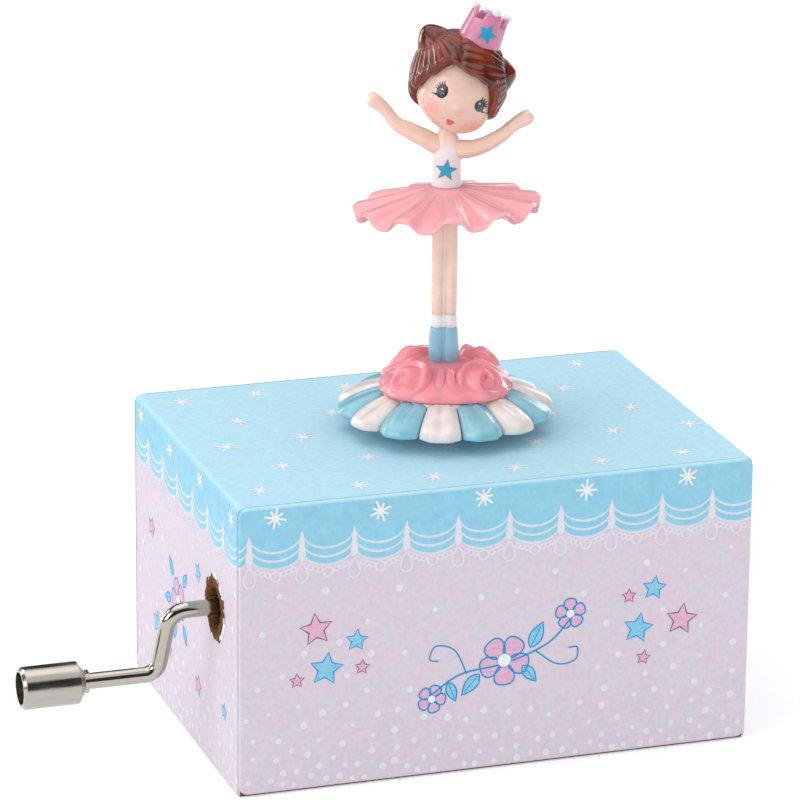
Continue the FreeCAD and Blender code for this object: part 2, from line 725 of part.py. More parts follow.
def crank():
    """The cranked rod: one wire through both posts, bent twice, with pinched ears and a rivet for the knob."""
    inner_end = value("spindle_x + post_gap + post_thick + 1.6")
    arm, handle, throw = value(ARM_X), value(HANDLE_X), value("crank_throw")
    knob_in = handle - value("knob_reach")
    rivet_in = knob_in - value("knob_len - recess_deep") - 0.06
    route = [V(inner_end, 0, 0), V(arm, 0, 0), V(handle, 0, -throw), V(rivet_in, 0, -throw)]
    wire = bent_rod(route, [value("bend_upper"), value("bend_lower")], "rod_r")
    rivet = rod("x", "rivet_r", (str(rivet_in - 0.6), str(rivet_in)), z="-crank_throw")
    pinched = (str(knob_in + 0.08), str(knob_in + 0.95))
    ears = slab(pinched, ("-0.6", "0.6"), ("-crank_throw - ear_half", "-crank_throw + ear_half"))
    whole = fuse(wire, rivet, round_edges(ears, "0.3", lambda run, middle: abs(run.y) > 1))
    turn = FreeCAD.Rotation(V(1, 0, 0), value("crank_angle"))
    whole.Placement.Rotation = turn
    part(place(whole, "0", CRANK_Y, "crank_z"), "crank_rod")
    along = ("spindle_x + post_gap + post_thick + 0.1", "spindle_x + post_gap + post_thick + 0.1 + clip")
    part(clip("x", "rod_r", along, y=CRANK_Y, z="crank_z"), "crank_clip")

    owner = body("knob_body")
    bore, inner = "rod_r + running", "knob_len - recess_deep"
    corners = (
        (bore, "0"), ("knob_r - knob_taper", "0"), ("knob_r", "knob_shoulder"),
        ("knob_r", "knob_len - knob_rim"), ("knob_r - knob_rim", "knob_len"),
        ("recess_r", "knob_len"), ("recess_r", inner), (bore, inner),
    )
    revolve(owner, outline(sketch(owner, "XZ_Plane"), corners), "V_Axis")
    across = turn.multVec(V(0, 0, -throw))
    at = V(knob_in, value(CRANK_Y) + across.y, value("crank_z") + across.z)
    owner.Placement = FreeCAD.Placement(at, FreeCAD.Rotation(V(0, 1, 0), -90))
    part(owner, "crank_knob")


# Figure, modelled facing -Y about the spindle and then turned


def figure_part(thing, label):
    """A piece of the figure, turned about the spindle to the way that it faces at rest."""
    turned = group(thing)
    turned.Placement.Rotation = FreeCAD.Rotation(V(0, 0, 1), value("figure_turn"))
    return part(place(turned, "spindle_x"), label)


def petal_ring():
    """The ring of petals: upright sections lofted right round, longer and fuller at each petal's middle."""
    count = SIZES["petals"]
    per_petal = 6
    reach, low, seat = value("petal_r"), value("rim_z"), value("mound_z - 0.2")
    inner, shoulder = 7, value("mound_r + 0.2")
    sections = []
    for i in range(count * per_petal):
        angle = 2 * math.pi * (i / per_petal / count) - math.pi / 2
        full = abs(math.cos(math.pi * i / per_petal)) ** 0.7
        tip = reach - 2.2 + 2.2 * full
        root = around_axis(angle, inner, seat)
        start = around_axis(angle, shoulder, seat)
        crest = around_axis(angle, shoulder + 0.55 * (tip - shoulder), seat - 1.4 + 0.5 * full)
        end = around_axis(angle, tip, low + 1.2)
        lip = around_axis(angle, tip - 0.7, low)
        hollow = around_axis(angle, 12, low + 1.6)
        heel = around_axis(angle, inner, low + 2.1)
        sections.append(Part.Wire([
            Part.LineSegment(root, start).toShape(),
            Part.Arc(start, crest, end).toShape(),
            Part.LineSegment(end, lip).toShape(),
            Part.Arc(lip, hollow, heel).toShape(),
            Part.LineSegment(heel, root).toShape(),
        ]))
    return feature(Part.makeLoft(sections, True, False, True), "petal_ring")


def rose(angle):
    """One rose: a ball with two rolled rings and a bud, leaning out of the mound."""
    pieces = [ellipsoid("rose_r", "rose_r", "rose_r*0.8")]
    for radius, thick, lift in ((0.78, 0.25, 0.45), (0.42, 0.2, 0.75)):
        roll = doc.addObject("Part::Torus", "rolled_ring")
        bind(roll, Radius1=f"rose_r*{radius}", Radius2=f"rose_r*{thick}")
        pieces.append(place(roll, z=f"rose_r*{lift}"))
    pieces.append(ellipsoid("rose_r*0.22", "rose_r*0.22", "rose_r*0.3", z="rose_r*0.85"))
    bloom = fuse(*pieces)
    around = FreeCAD.Rotation(V(0, 0, 1), angle)
    lean = FreeCAD.Rotation(V(1, 0, 0), value("rose_lean"))
    out = around.multVec(V(0, -value("rose_out"), value("mound_z + rose_lift")))
    bloom.Placement = FreeCAD.Placement(out, around.multiply(lean))
    return bloom


def legs():
    """Both legs with their slippers, toes in the mound."""
    limbs = []
    for side in ("-", "+"):
        x = f"leg_x {side} leg_gap"
        toe = f"leg_x {side} leg_gap*1.15"
        limbs.append(cone("ankle_r", "leg_r", ("slipper_z", "skirt_low"), x))
        limbs.append(ellipsoid("slipper_r", "slipper_r*1.15", "slipper_h", x=toe, z="slipper_z"))
    return fuse(*limbs)


def flower():
    """The foot of the figure: a ring of drooping petals under a mound of roses, with sockets for the toes."""
    shell = ellipsoid("mound_r", "mound_r", "mound_h", z="mound_z")
    blooms = [rose(45 + 360 / SIZES["roses"] * i) for i in range(SIZES["roses"])]
    below = slab(("-box_w", "box_w"), ("-box_d", "box_d"), ("0", "mound_z"))
    pair = legs()
    bore = rod("z", "spindle_r", ("0", "spindle_top"))
    mound = cut(fuse(shell, *blooms), below, pair, bore)

    web = rod("z", "8", ("rim_z + 2.4", "mound_z"))
    boss = rod("z", "spindle_r + 2", ("hub_z", "mound_z"))
    figure_part(cut(fuse(web, boss, petal_ring()), bore), "petal_base")
    figure_part(mound, "rose_mound")
    figure_part(pair, "legs")


def skirt():
    """The tutu: a thin flared plate whose hem waves, lofted round through upright sections, on a waist boss."""
    waves, count = SIZES["skirt_waves"], 6 * SIZES["skirt_waves"]
    inner, rim, thick = value("waist_r - 0.4"), value("skirt_r"), value("skirt_thick")
    top, hem, wave_h = value("waist_z - 0.1"), value("skirt_rim_z"), value("wave_h")
    front = math.radians(value("skirt_front") - 90)
    sections = []
    for i in range(count):
        angle = 2 * math.pi * i / count
        wave = math.cos(waves * (angle - front))
        slope = value("skirt_lean") * math.cos(angle) - value("skirt_pitch") * math.sin(angle)
        middle = (inner + rim) * 0.52
        middle_z = hem + 0.45 * (top - hem) + 0.3 * wave_h * wave + slope * (middle - inner)
        a = around_axis(angle, inner, top)
        b = around_axis(angle, middle, middle_z)
        c = around_axis(angle, rim + 0.2 * wave, hem + wave_h * wave + slope * (rim - inner))
        down = V(0, 0, -thick)
        sections.append(Part.Wire([
            Part.Arc(a, b, c).toShape(),
            Part.LineSegment(c, c + down).toShape(),
            Part.Arc(c + down, b + down, a + down * 1.8).toShape(),
            Part.LineSegment(a + down * 1.8, a).toShape(),
        ]))
    plate = feature(Part.makeLoft(sections, True, False, True), "hem")
    return fuse(plate, rod("z", "waist_r", ("skirt_low", "waist_z")))


TORSO = ((1, 0), (0.95, 1.4), (0.94, 2.8), (1, 5), (0.95, 6.8), (0.65, 8.4), (0.54, 9.6), (0.53, 12))
RIGHT_ARM = ((-0.5, 0, 6), (-7.9, -0.3, 9.9), (-11.8, -0.6, 13.4))
LEFT_ARM = ((0.5, 0, 5.7), (4.2, -0.1, 5.9), (12.1, -0.6, 11.2))


def upper_body():
    """Torso and neck revolved from one smooth profile, with both arms held out and a ball for each hand."""
    waist, low = value("waist_r"), value("waist_z")
    side = Part.BSplineCurve()
    side.interpolate([V(waist * wide, 0, low + lift) for wide, lift in TORSO])
    foot, top = V(0, 0, low), V(0, 0, low + TORSO[-1][1])
    half = Part.Wire([
        Part.LineSegment(foot, side.StartPoint).toShape(),
        side.toShape(),
        Part.LineSegment(side.EndPoint, top).toShape(),
        Part.LineSegment(top, foot).toShape(),
    ])
    pieces = [feature(Part.Face(half).revolve(V(), V(0, 0, 1), 360), "torso")]
    for arm in (RIGHT_ARM, LEFT_ARM):
        points = [V(x, y, low + z) for x, y, z in arm]
        pieces.append(bent_rod(points, [value("elbow_bend")], "arm_r"))
        hand = doc.addObject("Part::Sphere", "hand")
        bind(hand, Radius="hand_r")
        hand.Placement.Base = points[-1]
        pieces.append(hand)
    return fuse(*pieces)


def on_head(thing, x="0", y="0", z="0", tilt="0", back="0"):
    """Stands a piece on the head, about the head's own centre, which is tilted to the figure's left."""
    lean = FreeCAD.Rotation(V(0, 1, 0), value("head_tilt"))
    head = FreeCAD.Placement(V(value("head_x"), 0, value("head_z")), lean)
    turn = FreeCAD.Rotation(V(0, 1, 0), value(tilt)).multiply(FreeCAD.Rotation(V(1, 0, 0), -value(back)))
    own = FreeCAD.Placement(V(value(x), value(y), value(z)), turn)
    thing.Placement = head.multiply(own)
    return thing


def crown_band():
    """A crown about Z: a band that narrows upward, notched into points with a ball on each."""
    along = ("-crown_foot", "crown_h")
    outer = cone("crown_r", "crown_top_r", along)
    inner = cone("crown_r - crown_wall", "crown_top_r - crown_wall", along)
    count = SIZES["crown_points"]
    gaps, balls = [], []
    for i in range(count):
        angle = value("crown_turn") - 90 + 360 / count * i
        ball = group(ellipsoid("tip_r", "tip_r", "tip_r", x="crown_top_r - crown_wall/2", z="crown_h"))
        ball.Placement.Rotation = FreeCAD.Rotation(V(0, 0, 1), angle)
        balls.append(ball)
        mouth = slab(("0", "crown_r + 1"), ("-notch_half", "notch_half"), ("notch_z", "crown_h + 1"))
        gap = fuse(mouth, rod("x", "notch_half", ("0", "crown_r + 1"), z="notch_z"))
        gap.Placement.Rotation = FreeCAD.Rotation(V(0, 0, 1), angle + 180 / count)
        gaps.append(gap)
    return fuse(cut(outer, inner, *gaps), *balls)


def dancer():
    """Skirt, upper body, head, hair and crown, each cut to seat on the next."""
    figure_part(skirt(), "skirt")
    skull = on_head(group(ellipsoid("face_r", "face_r*0.95", "face_h", z="-face_drop")))
    mass = ellipsoid("hair_r", "hair_r*0.92", "hair_r", y="0.6", z="0.5")
    right_bun = ellipsoid("bun_r", "bun_r", "bun_r", x="-bun_x", y="0.8", z="right_bun_z")
    left_bun = ellipsoid("bun_r", "bun_r", "bun_r", x="bun_x", y="0.8", z="left_bun_z")
    window = ellipsoid("face_r*0.9", "face_r", "face_h*0.95", y="-face_r*0.75", z="-3.2")
    nape = slab(("-box_w", "box_w"), ("-box_d", "box_d"), ("-box_h", "-5"))
    hair_mass = on_head(cut(fuse(mass, right_bun, left_bun), window, nape))
    figure_part(cut(upper_body(), skull, hair_mass), "upper_body")
    figure_part(skull, "head")
    figure_part(cut(hair_mass, skull), "hair")
    crown = on_head(crown_band(), "crown_x", "crown_y", "crown_z", "crown_tilt", "crown_back")
    figure_part(cut(crown, hair_mass), "crown")


def check_and_write():
    """Stops on any failed object or bad shape, then writes one file for each sub-part."""
    doc.recompute()
    failed = [o.Name for o in doc.Objects if "Invalid" in o.State or "Error" in o.State]
    if failed:
        raise RuntimeError(f"failed objects: {failed}")
    for thing in PARTS:
        shape = thing.Shape
        if shape.isNull() or not shape.isValid() or not shape.Solids:
            raise RuntimeError(f"bad shape: {thing.Label}")
    os.makedirs("parts", exist_ok=True)
    for thing in PARTS:
        thing.Shape.exportStep(f"parts/{thing.Label}.step")
        print(thing.Label, len(thing.Shape.Solids), round(thing.Shape.Volume, 2))


boards()
papers()
base_board()
bedplate()
comb()
drum()
gears()
worm()
spindle_parts()
crank()
flower()
dancer()
check_and_write()
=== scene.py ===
"""Looks of a hand-cranked music box: printed paper, plated crank, and a moulded and painted dancer.

Sizes are written in millimetres and scaled to metres where a mesh is made.
"""
import bmesh
import bpy
import json
import random
from math import atan2, ceil, cos, degrees, exp, hypot, modf, pi, radians, sin, sqrt
from mathutils import Matrix, Vector
from mathutils.bvhtree import BVHTree


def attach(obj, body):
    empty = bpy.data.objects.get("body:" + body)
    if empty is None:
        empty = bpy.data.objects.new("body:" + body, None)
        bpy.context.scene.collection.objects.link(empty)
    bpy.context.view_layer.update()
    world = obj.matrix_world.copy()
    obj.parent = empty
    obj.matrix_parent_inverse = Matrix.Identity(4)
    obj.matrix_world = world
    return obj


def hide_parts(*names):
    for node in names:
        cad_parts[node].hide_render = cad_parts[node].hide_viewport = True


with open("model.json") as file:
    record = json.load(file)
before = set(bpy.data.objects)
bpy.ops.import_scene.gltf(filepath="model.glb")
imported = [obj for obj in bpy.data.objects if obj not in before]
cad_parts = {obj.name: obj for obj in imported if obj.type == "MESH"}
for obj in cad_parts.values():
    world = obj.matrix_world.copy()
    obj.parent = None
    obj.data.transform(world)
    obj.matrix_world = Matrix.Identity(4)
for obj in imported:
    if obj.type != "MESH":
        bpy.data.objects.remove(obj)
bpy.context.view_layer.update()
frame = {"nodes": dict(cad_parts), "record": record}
MM = 0.001


def rotated(angle, axis):
    """A turn by some degrees about one axis."""
    return Matrix.Rotation(radians(angle), 4, axis)


# Sizes that the pieces share with the solids
BOX_W, BOX_D, BOX_H = 82, 58, 46
CARD = 0.6
SPINDLE_X = 1.0
CRANK_Y, CRANK_Z = -16.2, 26.2
HOLE_R = 4.7
PETALS = 14
ROSES = 4
SKIRT_WAVES = 11
WAIST_R = 2.3
# Printed swags: widths, bend, the depth of each line at the posts and the middle, and the first posts
SWAG_FRONT, SWAG_SIDE = BOX_W / 10, BOX_D / 7
SWAG_SOFT, SWAG_STEEP = 0.55, 0.45
SWAG_LINES = ((4.5, 7.3), (5.8, 8.7), (7.2, 10.0))
FIRST_POST = 1.55
BACK_POST = BOX_W - FIRST_POST - 9 * SWAG_FRONT
# Frames of the dancer, and the way in which painted marks are carried onto it
HEAD_FLAT = Matrix.Translation((1.6, 0, 100.7)) @ rotated(20, "Y")
HEAD = HEAD_FLAT @ rotated(7.5, "Z")
CROWN = HEAD_FLAT @ Matrix.Translation((0.55, 0.9, 7.5)) @ rotated(4, "Y") @ rotated(-16, "X")
FIGURE = Matrix.Scale(MM, 4) @ Matrix.Translation((SPINDLE_X, 0, 0)) @ rotated(-18.5, "Z")
SIGHT = Vector((0, cos(radians(18)), -sin(radians(18))))

# Colours, as they look on the object
BLUE_PAPER = (0.56, 0.80, 0.90)
LILAC_PAPER = (0.855, 0.825, 0.868)
LACE_INK = (0.885, 0.885, 0.92)
FIBRE = (0.46, 0.31, 0.17)
SKIN = (0.945, 0.805, 0.735)
# The skin colour darkened for painted shade on the face
SHADED_FACE_SKIN = (0.91, 0.77, 0.705)
ROSE = (0.96, 0.58, 0.62)
SKIRT = (0.96, 0.67, 0.695)
PETAL_BLUE = (0.53, 0.76, 0.82)
PETAL_WHITE = (0.905, 0.87, 0.855)
HAIR = (0.31, 0.105, 0.06)
HAIR_LIGHT = (0.525, 0.215, 0.12)
CROWN_PINK = (0.825, 0.51, 0.635)
STAR_BLUE = (0.12, 0.62, 0.78)
# The printed inks: colour, how strong the pencil strokes are, and how far off the paper each one lies
INK_LOOKS = {
    "white": ((0.93, 0.935, 0.955), 0, 0.036),
    "lace": (LACE_INK, 0, 0.02),
    "pale": ((0.895, 0.89, 0.915), 0, 0.012),
    "pink": ((0.885, 0.65, 0.78), 0.4, 0.02),
    "mauve": ((0.50, 0.30, 0.46), 0, 0.028),
    "sky": ((0.43, 0.78, 0.915), 0.3, 0.02),
    "deep": ((0.07, 0.58, 0.80), 0, 0.028),
}


def linear(colour):
    """A display colour as the linear values that a shader takes."""
    return tuple(c / 12.92 if c <= 0.04045 else ((c + 0.055) / 1.055) ** 2.4 for c in colour) + (1.0,)


class Paint:
    """A material under construction: nodes are added, and wired to the main shader, by short calls."""

    def __init__(self, name, **constants):
        self.material = bpy.data.materials.new(name)
        self.material.use_nodes = True
        self.tree = self.material.node_tree
        self.shader = self.tree.nodes["Principled BSDF"]
        self.place = self.node("ShaderNodeTexCoord").outputs["Object"]
        for socket, constant in constants.items():
            self.shader.inputs[socket.replace("_", " ")].default_value = constant

    def put(self, socket, value):
        if isinstance(value, bpy.types.NodeSocket):
            self.tree.links.new(value, socket)
        else:
            socket.default_value = value

    def node(self, kind, inputs=None, **settings):
        made = self.tree.nodes.new(kind)
        for name, setting in settings.items():
            setattr(made, name, setting)
        for socket, value in (inputs or {}).items():
            self.put(made.inputs[socket], value)
        return made

    def math(self, operation, first, second=0.0):
        return self.node("ShaderNodeMath", {0: first, 1: second}, operation=operation).outputs[0]

    def axis(self, name):
        """The object's own coordinate along one axis, in millimetres."""
        split = self.node("ShaderNodeSeparateXYZ", {0: self.place})
        return self.math("MULTIPLY", split.outputs[name], 1000.0)

    def noise(self, per_mm, detail=4.0, stretch=(1, 1, 1)):
        scaled = self.node("ShaderNodeMapping", {"Vector": self.place, "Scale": stretch}).outputs[0]
        made = self.node("ShaderNodeTexNoise", {"Vector": scaled, "Scale": per_mm * 1000, "Detail": detail})
        return made.outputs["Fac"]

    def ramp(self, value, low, high, low_to=0.0, high_to=1.0):
        """The value carried smoothly from one range to another."""
        inputs = {"Value": value, "From Min": low, "From Max": high, "To Min": low_to, "To Max": high_to}
        return self.node("ShaderNodeMapRange", inputs, interpolation_type="SMOOTHSTEP").outputs[0]

    def mix(self, factor, first, second):
        return self.node("ShaderNodeMix", {0: factor, 6: first, 7: second}, data_type="RGBA").outputs[2]

    def shade(self, colour, amount, value):
        """The colour made lighter and darker by a value about one half."""
        dark = tuple(c * (1 - amount) for c in colour[:3]) + (1.0,)
        light = tuple(min(1.0, c * (1 + amount)) for c in colour[:3]) + (1.0,)
        return self.mix(self.ramp(value, 0.3, 0.7), dark, light)

    def bump(self, height, strength, depth_mm):
        inputs = {"Height": height, "Strength": strength, "Distance": depth_mm * MM}
        made = self.node("ShaderNodeBump", inputs)
        self.put(self.shader.inputs["Normal"], made.outputs[0])

    def finish(self, colour, rough=None):
        self.put(self.shader.inputs["Base Color"], colour)
        if rough is not None:
            self.put(self.shader.inputs["Roughness"], rough)
        return self.material


# Materials


def paper_grain(paint):
    """The fine weave of a coated paper, for colour and bump."""
    fine = paint.noise(4.0, 5.0)
    upright = paint.noise(1.5, 3.0, (5, 5, 0.6))
    level = paint.noise(1.5, 3.0, (0.6, 0.6, 5))
    weave = paint.math("ADD", upright, level)
    grain = paint.math("ADD", paint.math("MULTIPLY", fine, 0.4), paint.math("MULTIPLY", weave, 0.3))
    paint.bump(grain, 0.4, 0.04)
    return grain


def ink(name, colour, strokes):
    """One printed colour on the paper, even or with the level strokes of a pencil."""
    paint = Paint(name, Specular_IOR_Level=0.35)
    grain = paper_grain(paint)
    tone = paint.shade(linear(colour), 0.07, grain)
    if strokes:
        drawn = paint.ramp(paint.noise(0.9, 3.0, (0.5, 0.5, 3)), 0.4, 0.6, strokes, 0.0)
        tone = paint.mix(drawn, tone, linear(LILAC_PAPER))
    return paint.finish(tone, paint.ramp(grain, 0.2, 0.9, 0.5, 0.62))


def hanging(paint, across, post, low):
    """How far below the top edge a swag hangs, from 0 across at its middle to 1 at its posts."""
    soft = paint.math("MULTIPLY", paint.math("POWER", across, 2.0), SWAG_SOFT)
    steep = paint.math("MULTIPLY", paint.math("POWER", across, 10.0), SWAG_STEEP)
    rise = paint.math("MULTIPLY", paint.math("ADD", soft, steep), low - post)
    return paint.math("SUBTRACT", low, rise)


def printed_paper(name, axis, start, period):
    """Blue above a swagged edge and lilac below it, with white lines hanging between the posts."""
    paint = Paint(name, Specular_IOR_Level=0.3)
    grain = paper_grain(paint)
    along = paint.math("DIVIDE", paint.math("SUBTRACT", paint.axis(axis), start), period)
    middle = paint.math("SUBTRACT", paint.math("FRACT", along), 0.5)
    across = paint.math("MULTIPLY", paint.math("ABSOLUTE", middle), 2.0)
    depth = paint.math("SUBTRACT", BOX_H, paint.axis("Z"))
    blotch = paint.ramp(paint.noise(0.5, 7.0), 0.34, 0.66)
    blue = paint.mix(blotch, linear(BLUE_PAPER), linear((0.585, 0.83, 0.915)))
    lilac = paint.mix(blotch, linear(LILAC_PAPER), linear((0.88, 0.81, 0.862)))
    below = paint.math("SUBTRACT", depth, hanging(paint, across, *SWAG_LINES[-1]))
    colour = paint.mix(paint.ramp(below, -0.08, 0.08), blue, lilac)
    for line in SWAG_LINES:
        off = paint.math("ABSOLUTE", paint.math("SUBTRACT", depth, hanging(paint, across, *line)))
        colour = paint.mix(paint.ramp(off, 0.12, 0.25, 0.9, 0.0), colour, linear(LACE_INK))
    # Painted light: the top face, and the paper just below its edge, made lighter and bluer
    painted_top_light = paint.ramp(depth, 0.1, 0.6, 0.55, 0.0)
    colour = paint.mix(painted_top_light, colour, linear((0.80, 0.945, 0.995)))
    dull = paint.mix(0.1, colour, (0.3, 0.27, 0.35, 1))
    mottled = paint.mix(paint.ramp(paint.noise(1.3), 0.36, 0.6), dull, colour)
    return paint.finish(mottled, paint.ramp(grain, 0.3, 0.7, 0.5, 0.62))


def fibreboard():
    """Raw brown board with short fibres."""
    paint = Paint("fibreboard", Specular_IOR_Level=0.2)
    fibre = paint.noise(1.4, 8.0, (1, 1, 3))
    paint.bump(fibre, 0.8, 0.25)
    return paint.finish(paint.shade(linear(FIBRE), 0.45, fibre), paint.ramp(fibre, 0.2, 0.8, 0.75, 0.95))


def metal(name, colour, rough, grain=0.05):
    """Metal with faint rubbing marks."""
    paint = Paint(name, Metallic=1.0)
    rub = paint.noise(0.5, 6.0, (0.4, 3, 3))
    paint.bump(paint.noise(2.5, 5.0), grain, 0.02)
    tone = paint.shade(linear(colour), 0.05, rub)
    return paint.finish(tone, paint.ramp(rub, 0.3, 0.75, rough * 0.75, rough * 1.5))


LACQUER = {"Coat_Weight": 0.45, "Coat_Roughness": 0.1, "Subsurface_Weight": 0.12, "Subsurface_Scale": 0.0012}


def moulded(name, colour, rough=0.32, mottled=0.05, glow=0.12):
    """Painted moulded plastic, with a little light carried under its surface and a thin lacquer."""
    paint = Paint(name, **LACQUER)
    paint.shader.inputs["Subsurface Weight"].default_value = glow
    cloud = paint.noise(0.35)
    fine = paint.noise(3.0, 5.0)
    paint.bump(paint.math("ADD", cloud, paint.math("MULTIPLY", fine, 0.2)), 0.25, 0.08)
    tone = paint.shade(linear(colour), mottled, cloud)
    return paint.finish(tone, paint.ramp(fine, 0.3, 0.7, rough * 0.85, rough * 1.2))


INKS = {name: ink(f"{name}_ink", colour, strokes) for name, (colour, strokes, lift) in INK_LOOKS.items()}
FIBREBOARD = fibreboard()
NODE_MATERIALS = {
    "fibreboard": FIBREBOARD,
    "printed_paper": printed_paper("printed_wrap", "Y", -BOX_D / 2, SWAG_SIDE),
    "printed_card": printed_paper("printed_card", "X", -BOX_W / 2 + FIRST_POST, SWAG_FRONT),
    "cast_zinc": metal("cast_zinc", (0.70, 0.70, 0.71), 0.5, 0.3),
    "steel": metal("ground_steel", (0.72, 0.72, 0.73), 0.25),
    "brass": metal("turned_brass", (0.86, 0.70, 0.40), 0.25),
    "nickel_wire": metal("nickel_plate", (0.72, 0.69, 0.645), 0.12),
    "nickel_knob": metal("satin_nickel", (0.71, 0.685, 0.645), 0.2),
    "nylon": moulded("nylon", (0.90, 0.90, 0.87), 0.4),
}
for subpart in frame["record"]["subparts"]:
    slot = subpart["material_slot"]
    if slot in NODE_MATERIALS:
        node = frame["nodes"][subpart["node"]]
        node.data.materials.clear()
        node.data.materials.append(NODE_MATERIALS[slot])


# Mesh building


def new_object(name, points, faces, material):
    """A mesh object in the scene, of one material."""
    mesh = bpy.data.meshes.new(name)
    mesh.from_pydata([tuple(p) for p in points], [], faces)
    mesh.materials.append(material)
    made = bpy.data.objects.new(name, mesh)
    bpy.context.scene.collection.objects.link(made)
    return made


def piece(name, points, faces, material, body, slot, matrix=Matrix.Scale(MM, 4), closed=True, rounds=0):
    """A mesh piece that rides on a body, from points in millimetres; closed ones are smooth and face out."""
    made = new_object(name, points, faces, material)
    mesh = made.data
    mesh.transform(matrix)
    if closed:
        form = bmesh.new()
        form.from_mesh(mesh)
        bmesh.ops.recalc_face_normals(form, faces=form.faces)
        form.to_mesh(mesh)
        form.free()
    for face in mesh.polygons:
        face.use_smooth = closed
    if rounds:
        modifier = made.modifiers.new("rounding", "SUBSURF")
        modifier.levels = rounds
        modifier.render_levels = rounds
    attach(made, body)
    return made


def ring_faces(rows, columns, first=0):
    """Quads between rows of points, each row running round."""
    faces = []
    for r in range(rows - 1):
        for c in range(columns):
            a = first + r * columns + c
            b = first + r * columns + (c + 1) % columns
            faces.append((a, b, b + columns, a + columns))
    return faces


class Shape:
    """Points and faces gathered from several simple forms."""

    def __init__(self):
        self.points = []
        self.faces = []

    def rows(self, rows, cap_first=False, cap_last=False):
        """A round sheet through rows of points; a cap closes the first or last row with one face."""
        first = len(self.points)
        columns = len(rows[0])
        for row in rows:
            self.points.extend(row)
        self.faces += ring_faces(len(rows), columns, first)
        if cap_first:
            self.faces.append(tuple(range(first + columns - 1, first - 1, -1)))
        if cap_last:
            last = first + (len(rows) - 1) * columns
            self.faces.append(tuple(range(last, last + columns)))

    def solid(self, rows):
        """A closed form: a round sheet with a cap at both ends."""
        self.rows(rows, cap_first=True, cap_last=True)

    def polygon(self, points):
        first = len(self.points)
        self.points.extend(points)
        self.faces.append(tuple(range(first, first + len(points))))

    def piece(self, name, material, body, slot, **options):
        return piece(name, self.points, self.faces, material, body, slot, **options)

    def on_figure(self, name, material, slot, turned=Matrix(), rounds=0):
        """A closed piece of the dancer, from points in the dancer's frame or one turned in it."""
        return self.piece(name, material, "figure", slot, matrix=FIGURE @ turned, rounds=rounds)


def turns(count):
    """Even angles right round."""
    return [2 * pi * i / count for i in range(count)]


def circle(count, radius):
    return [(radius * cos(angle), radius * sin(angle)) for angle in turns(count)]


def lathe(profile, count, centre=(0, 0)):
    """Rings of points about an upright axis, from a profile of radius and height."""
    x, y = centre
    return [[Vector((x + a, y + b, z)) for a, b in circle(count, radius)] for radius, z in profile]


def smooth_through(points, per_run):
    """Points on a smooth curve through the given ones."""
    ends = [2 * points[0] - points[1]] + points + [2 * points[-1] - points[-2]]
    found = []
    for a, b, c, d in zip(ends, ends[1:], ends[2:], ends[3:]):
        for i in range(per_run):
            t = i / per_run
            found.append(0.5 * ((2 * b) + (c - a) * t + (2 * a - 5 * b + 4 * c - d) * t * t
                                + (3 * b - a - 3 * c + d) * t ** 3))
    return found + [points[-1]]


# Printed decoration, laid out flat on each face

# A point of each face, from how far across and down it is and how far it stands off
FACES = {
    "front": lambda u, v, lift: Vector((u - BOX_W / 2, -BOX_D / 2 - lift, BOX_H - v)),
    "back": lambda u, v, lift: Vector((BOX_W / 2 - u, BOX_D / 2 + lift, BOX_H - v)),
    "left": lambda u, v, lift: Vector((-BOX_W / 2 - lift, BOX_D / 2 - u, BOX_H - v)),
    "right": lambda u, v, lift: Vector((BOX_W / 2 + lift, u - BOX_D / 2, BOX_H - v)),
    "top": lambda u, v, lift: Vector((u - BOX_W / 2, BOX_D / 2 - v, BOX_H + lift)),
}


class Print:
    """The flat shapes of one face, kept by ink and made into one thin piece for each ink."""

    def __init__(self, name, slot):
        self.name = name
        self.slot = slot
        self.face = FACES[name]
        self.outward = self.face(0, 0, 1) - self.face(0, 0, 0)
        self.inks = {}

    def area(self, ink_name, outline):
        """One printed area that faces outward, a hair above the one before it."""
        shape = self.inks.setdefault(ink_name, Shape())
        lift = INK_LOOKS[ink_name][-1] + 0.0004 * (len(shape.faces) % 16)
        points = [self.face(u, v, lift) for u, v in outline]
        facing = sum((a.cross(b) for a, b in zip(points, points[1:] + points[:1])), Vector())
        shape.polygon(points if facing.dot(self.outward) > 0 else points[::-1])

    def line(self, ink_name, route, width, closed=False):
        """A line of even width along a route."""
        count = len(route)
        inner, outer = [], []
        for i, (u, v) in enumerate(route):
            before = route[(i - 1) % count] if closed or i else route[i]
            after = route[(i + 1) % count] if closed or i < count - 1 else route[i]
            run = Vector((after[0] - before[0], after[1] - before[1])).normalized()
            inner.append((u - run.y * width / 2, v + run.x * width / 2))
            outer.append((u + run.y * width / 2, v - run.x * width / 2))
        for i in range(count if closed else count - 1):
            j = (i + 1) % count
            self.area(ink_name, (inner[i], inner[j], outer[j], outer[i]))

    def make(self):
        for ink_name, shape in self.inks.items():
            shape.piece(f"print_{self.name}_{ink_name}", INKS[ink_name], "box", self.slot, closed=False)


def moved(outline, u, v, size=1.0, turn=0.0):
    c, s = cos(turn) * size, sin(turn) * size
    return [(u + x * c - y * s, v + x * s + y * c) for x, y in outline]


def star_outline(inner=0.48):
    """A five-pointed star of radius one."""
    points = 5
    outline = []
    for i in range(2 * points):
        radius = 1.0 if i % 2 == 0 else inner
        angle = pi * i / points - pi / 2
        outline.append((radius * cos(angle), radius * sin(angle)))
    return outline


def star(sheet, u, v, radius, turn, pink):
    shape = moved(star_outline(), u, v, radius, turn)
    sheet.area("pink" if pink else "sky", shape)
    sheet.line("mauve" if pink else "deep", shape, 0.12 + 0.04 * radius, True)


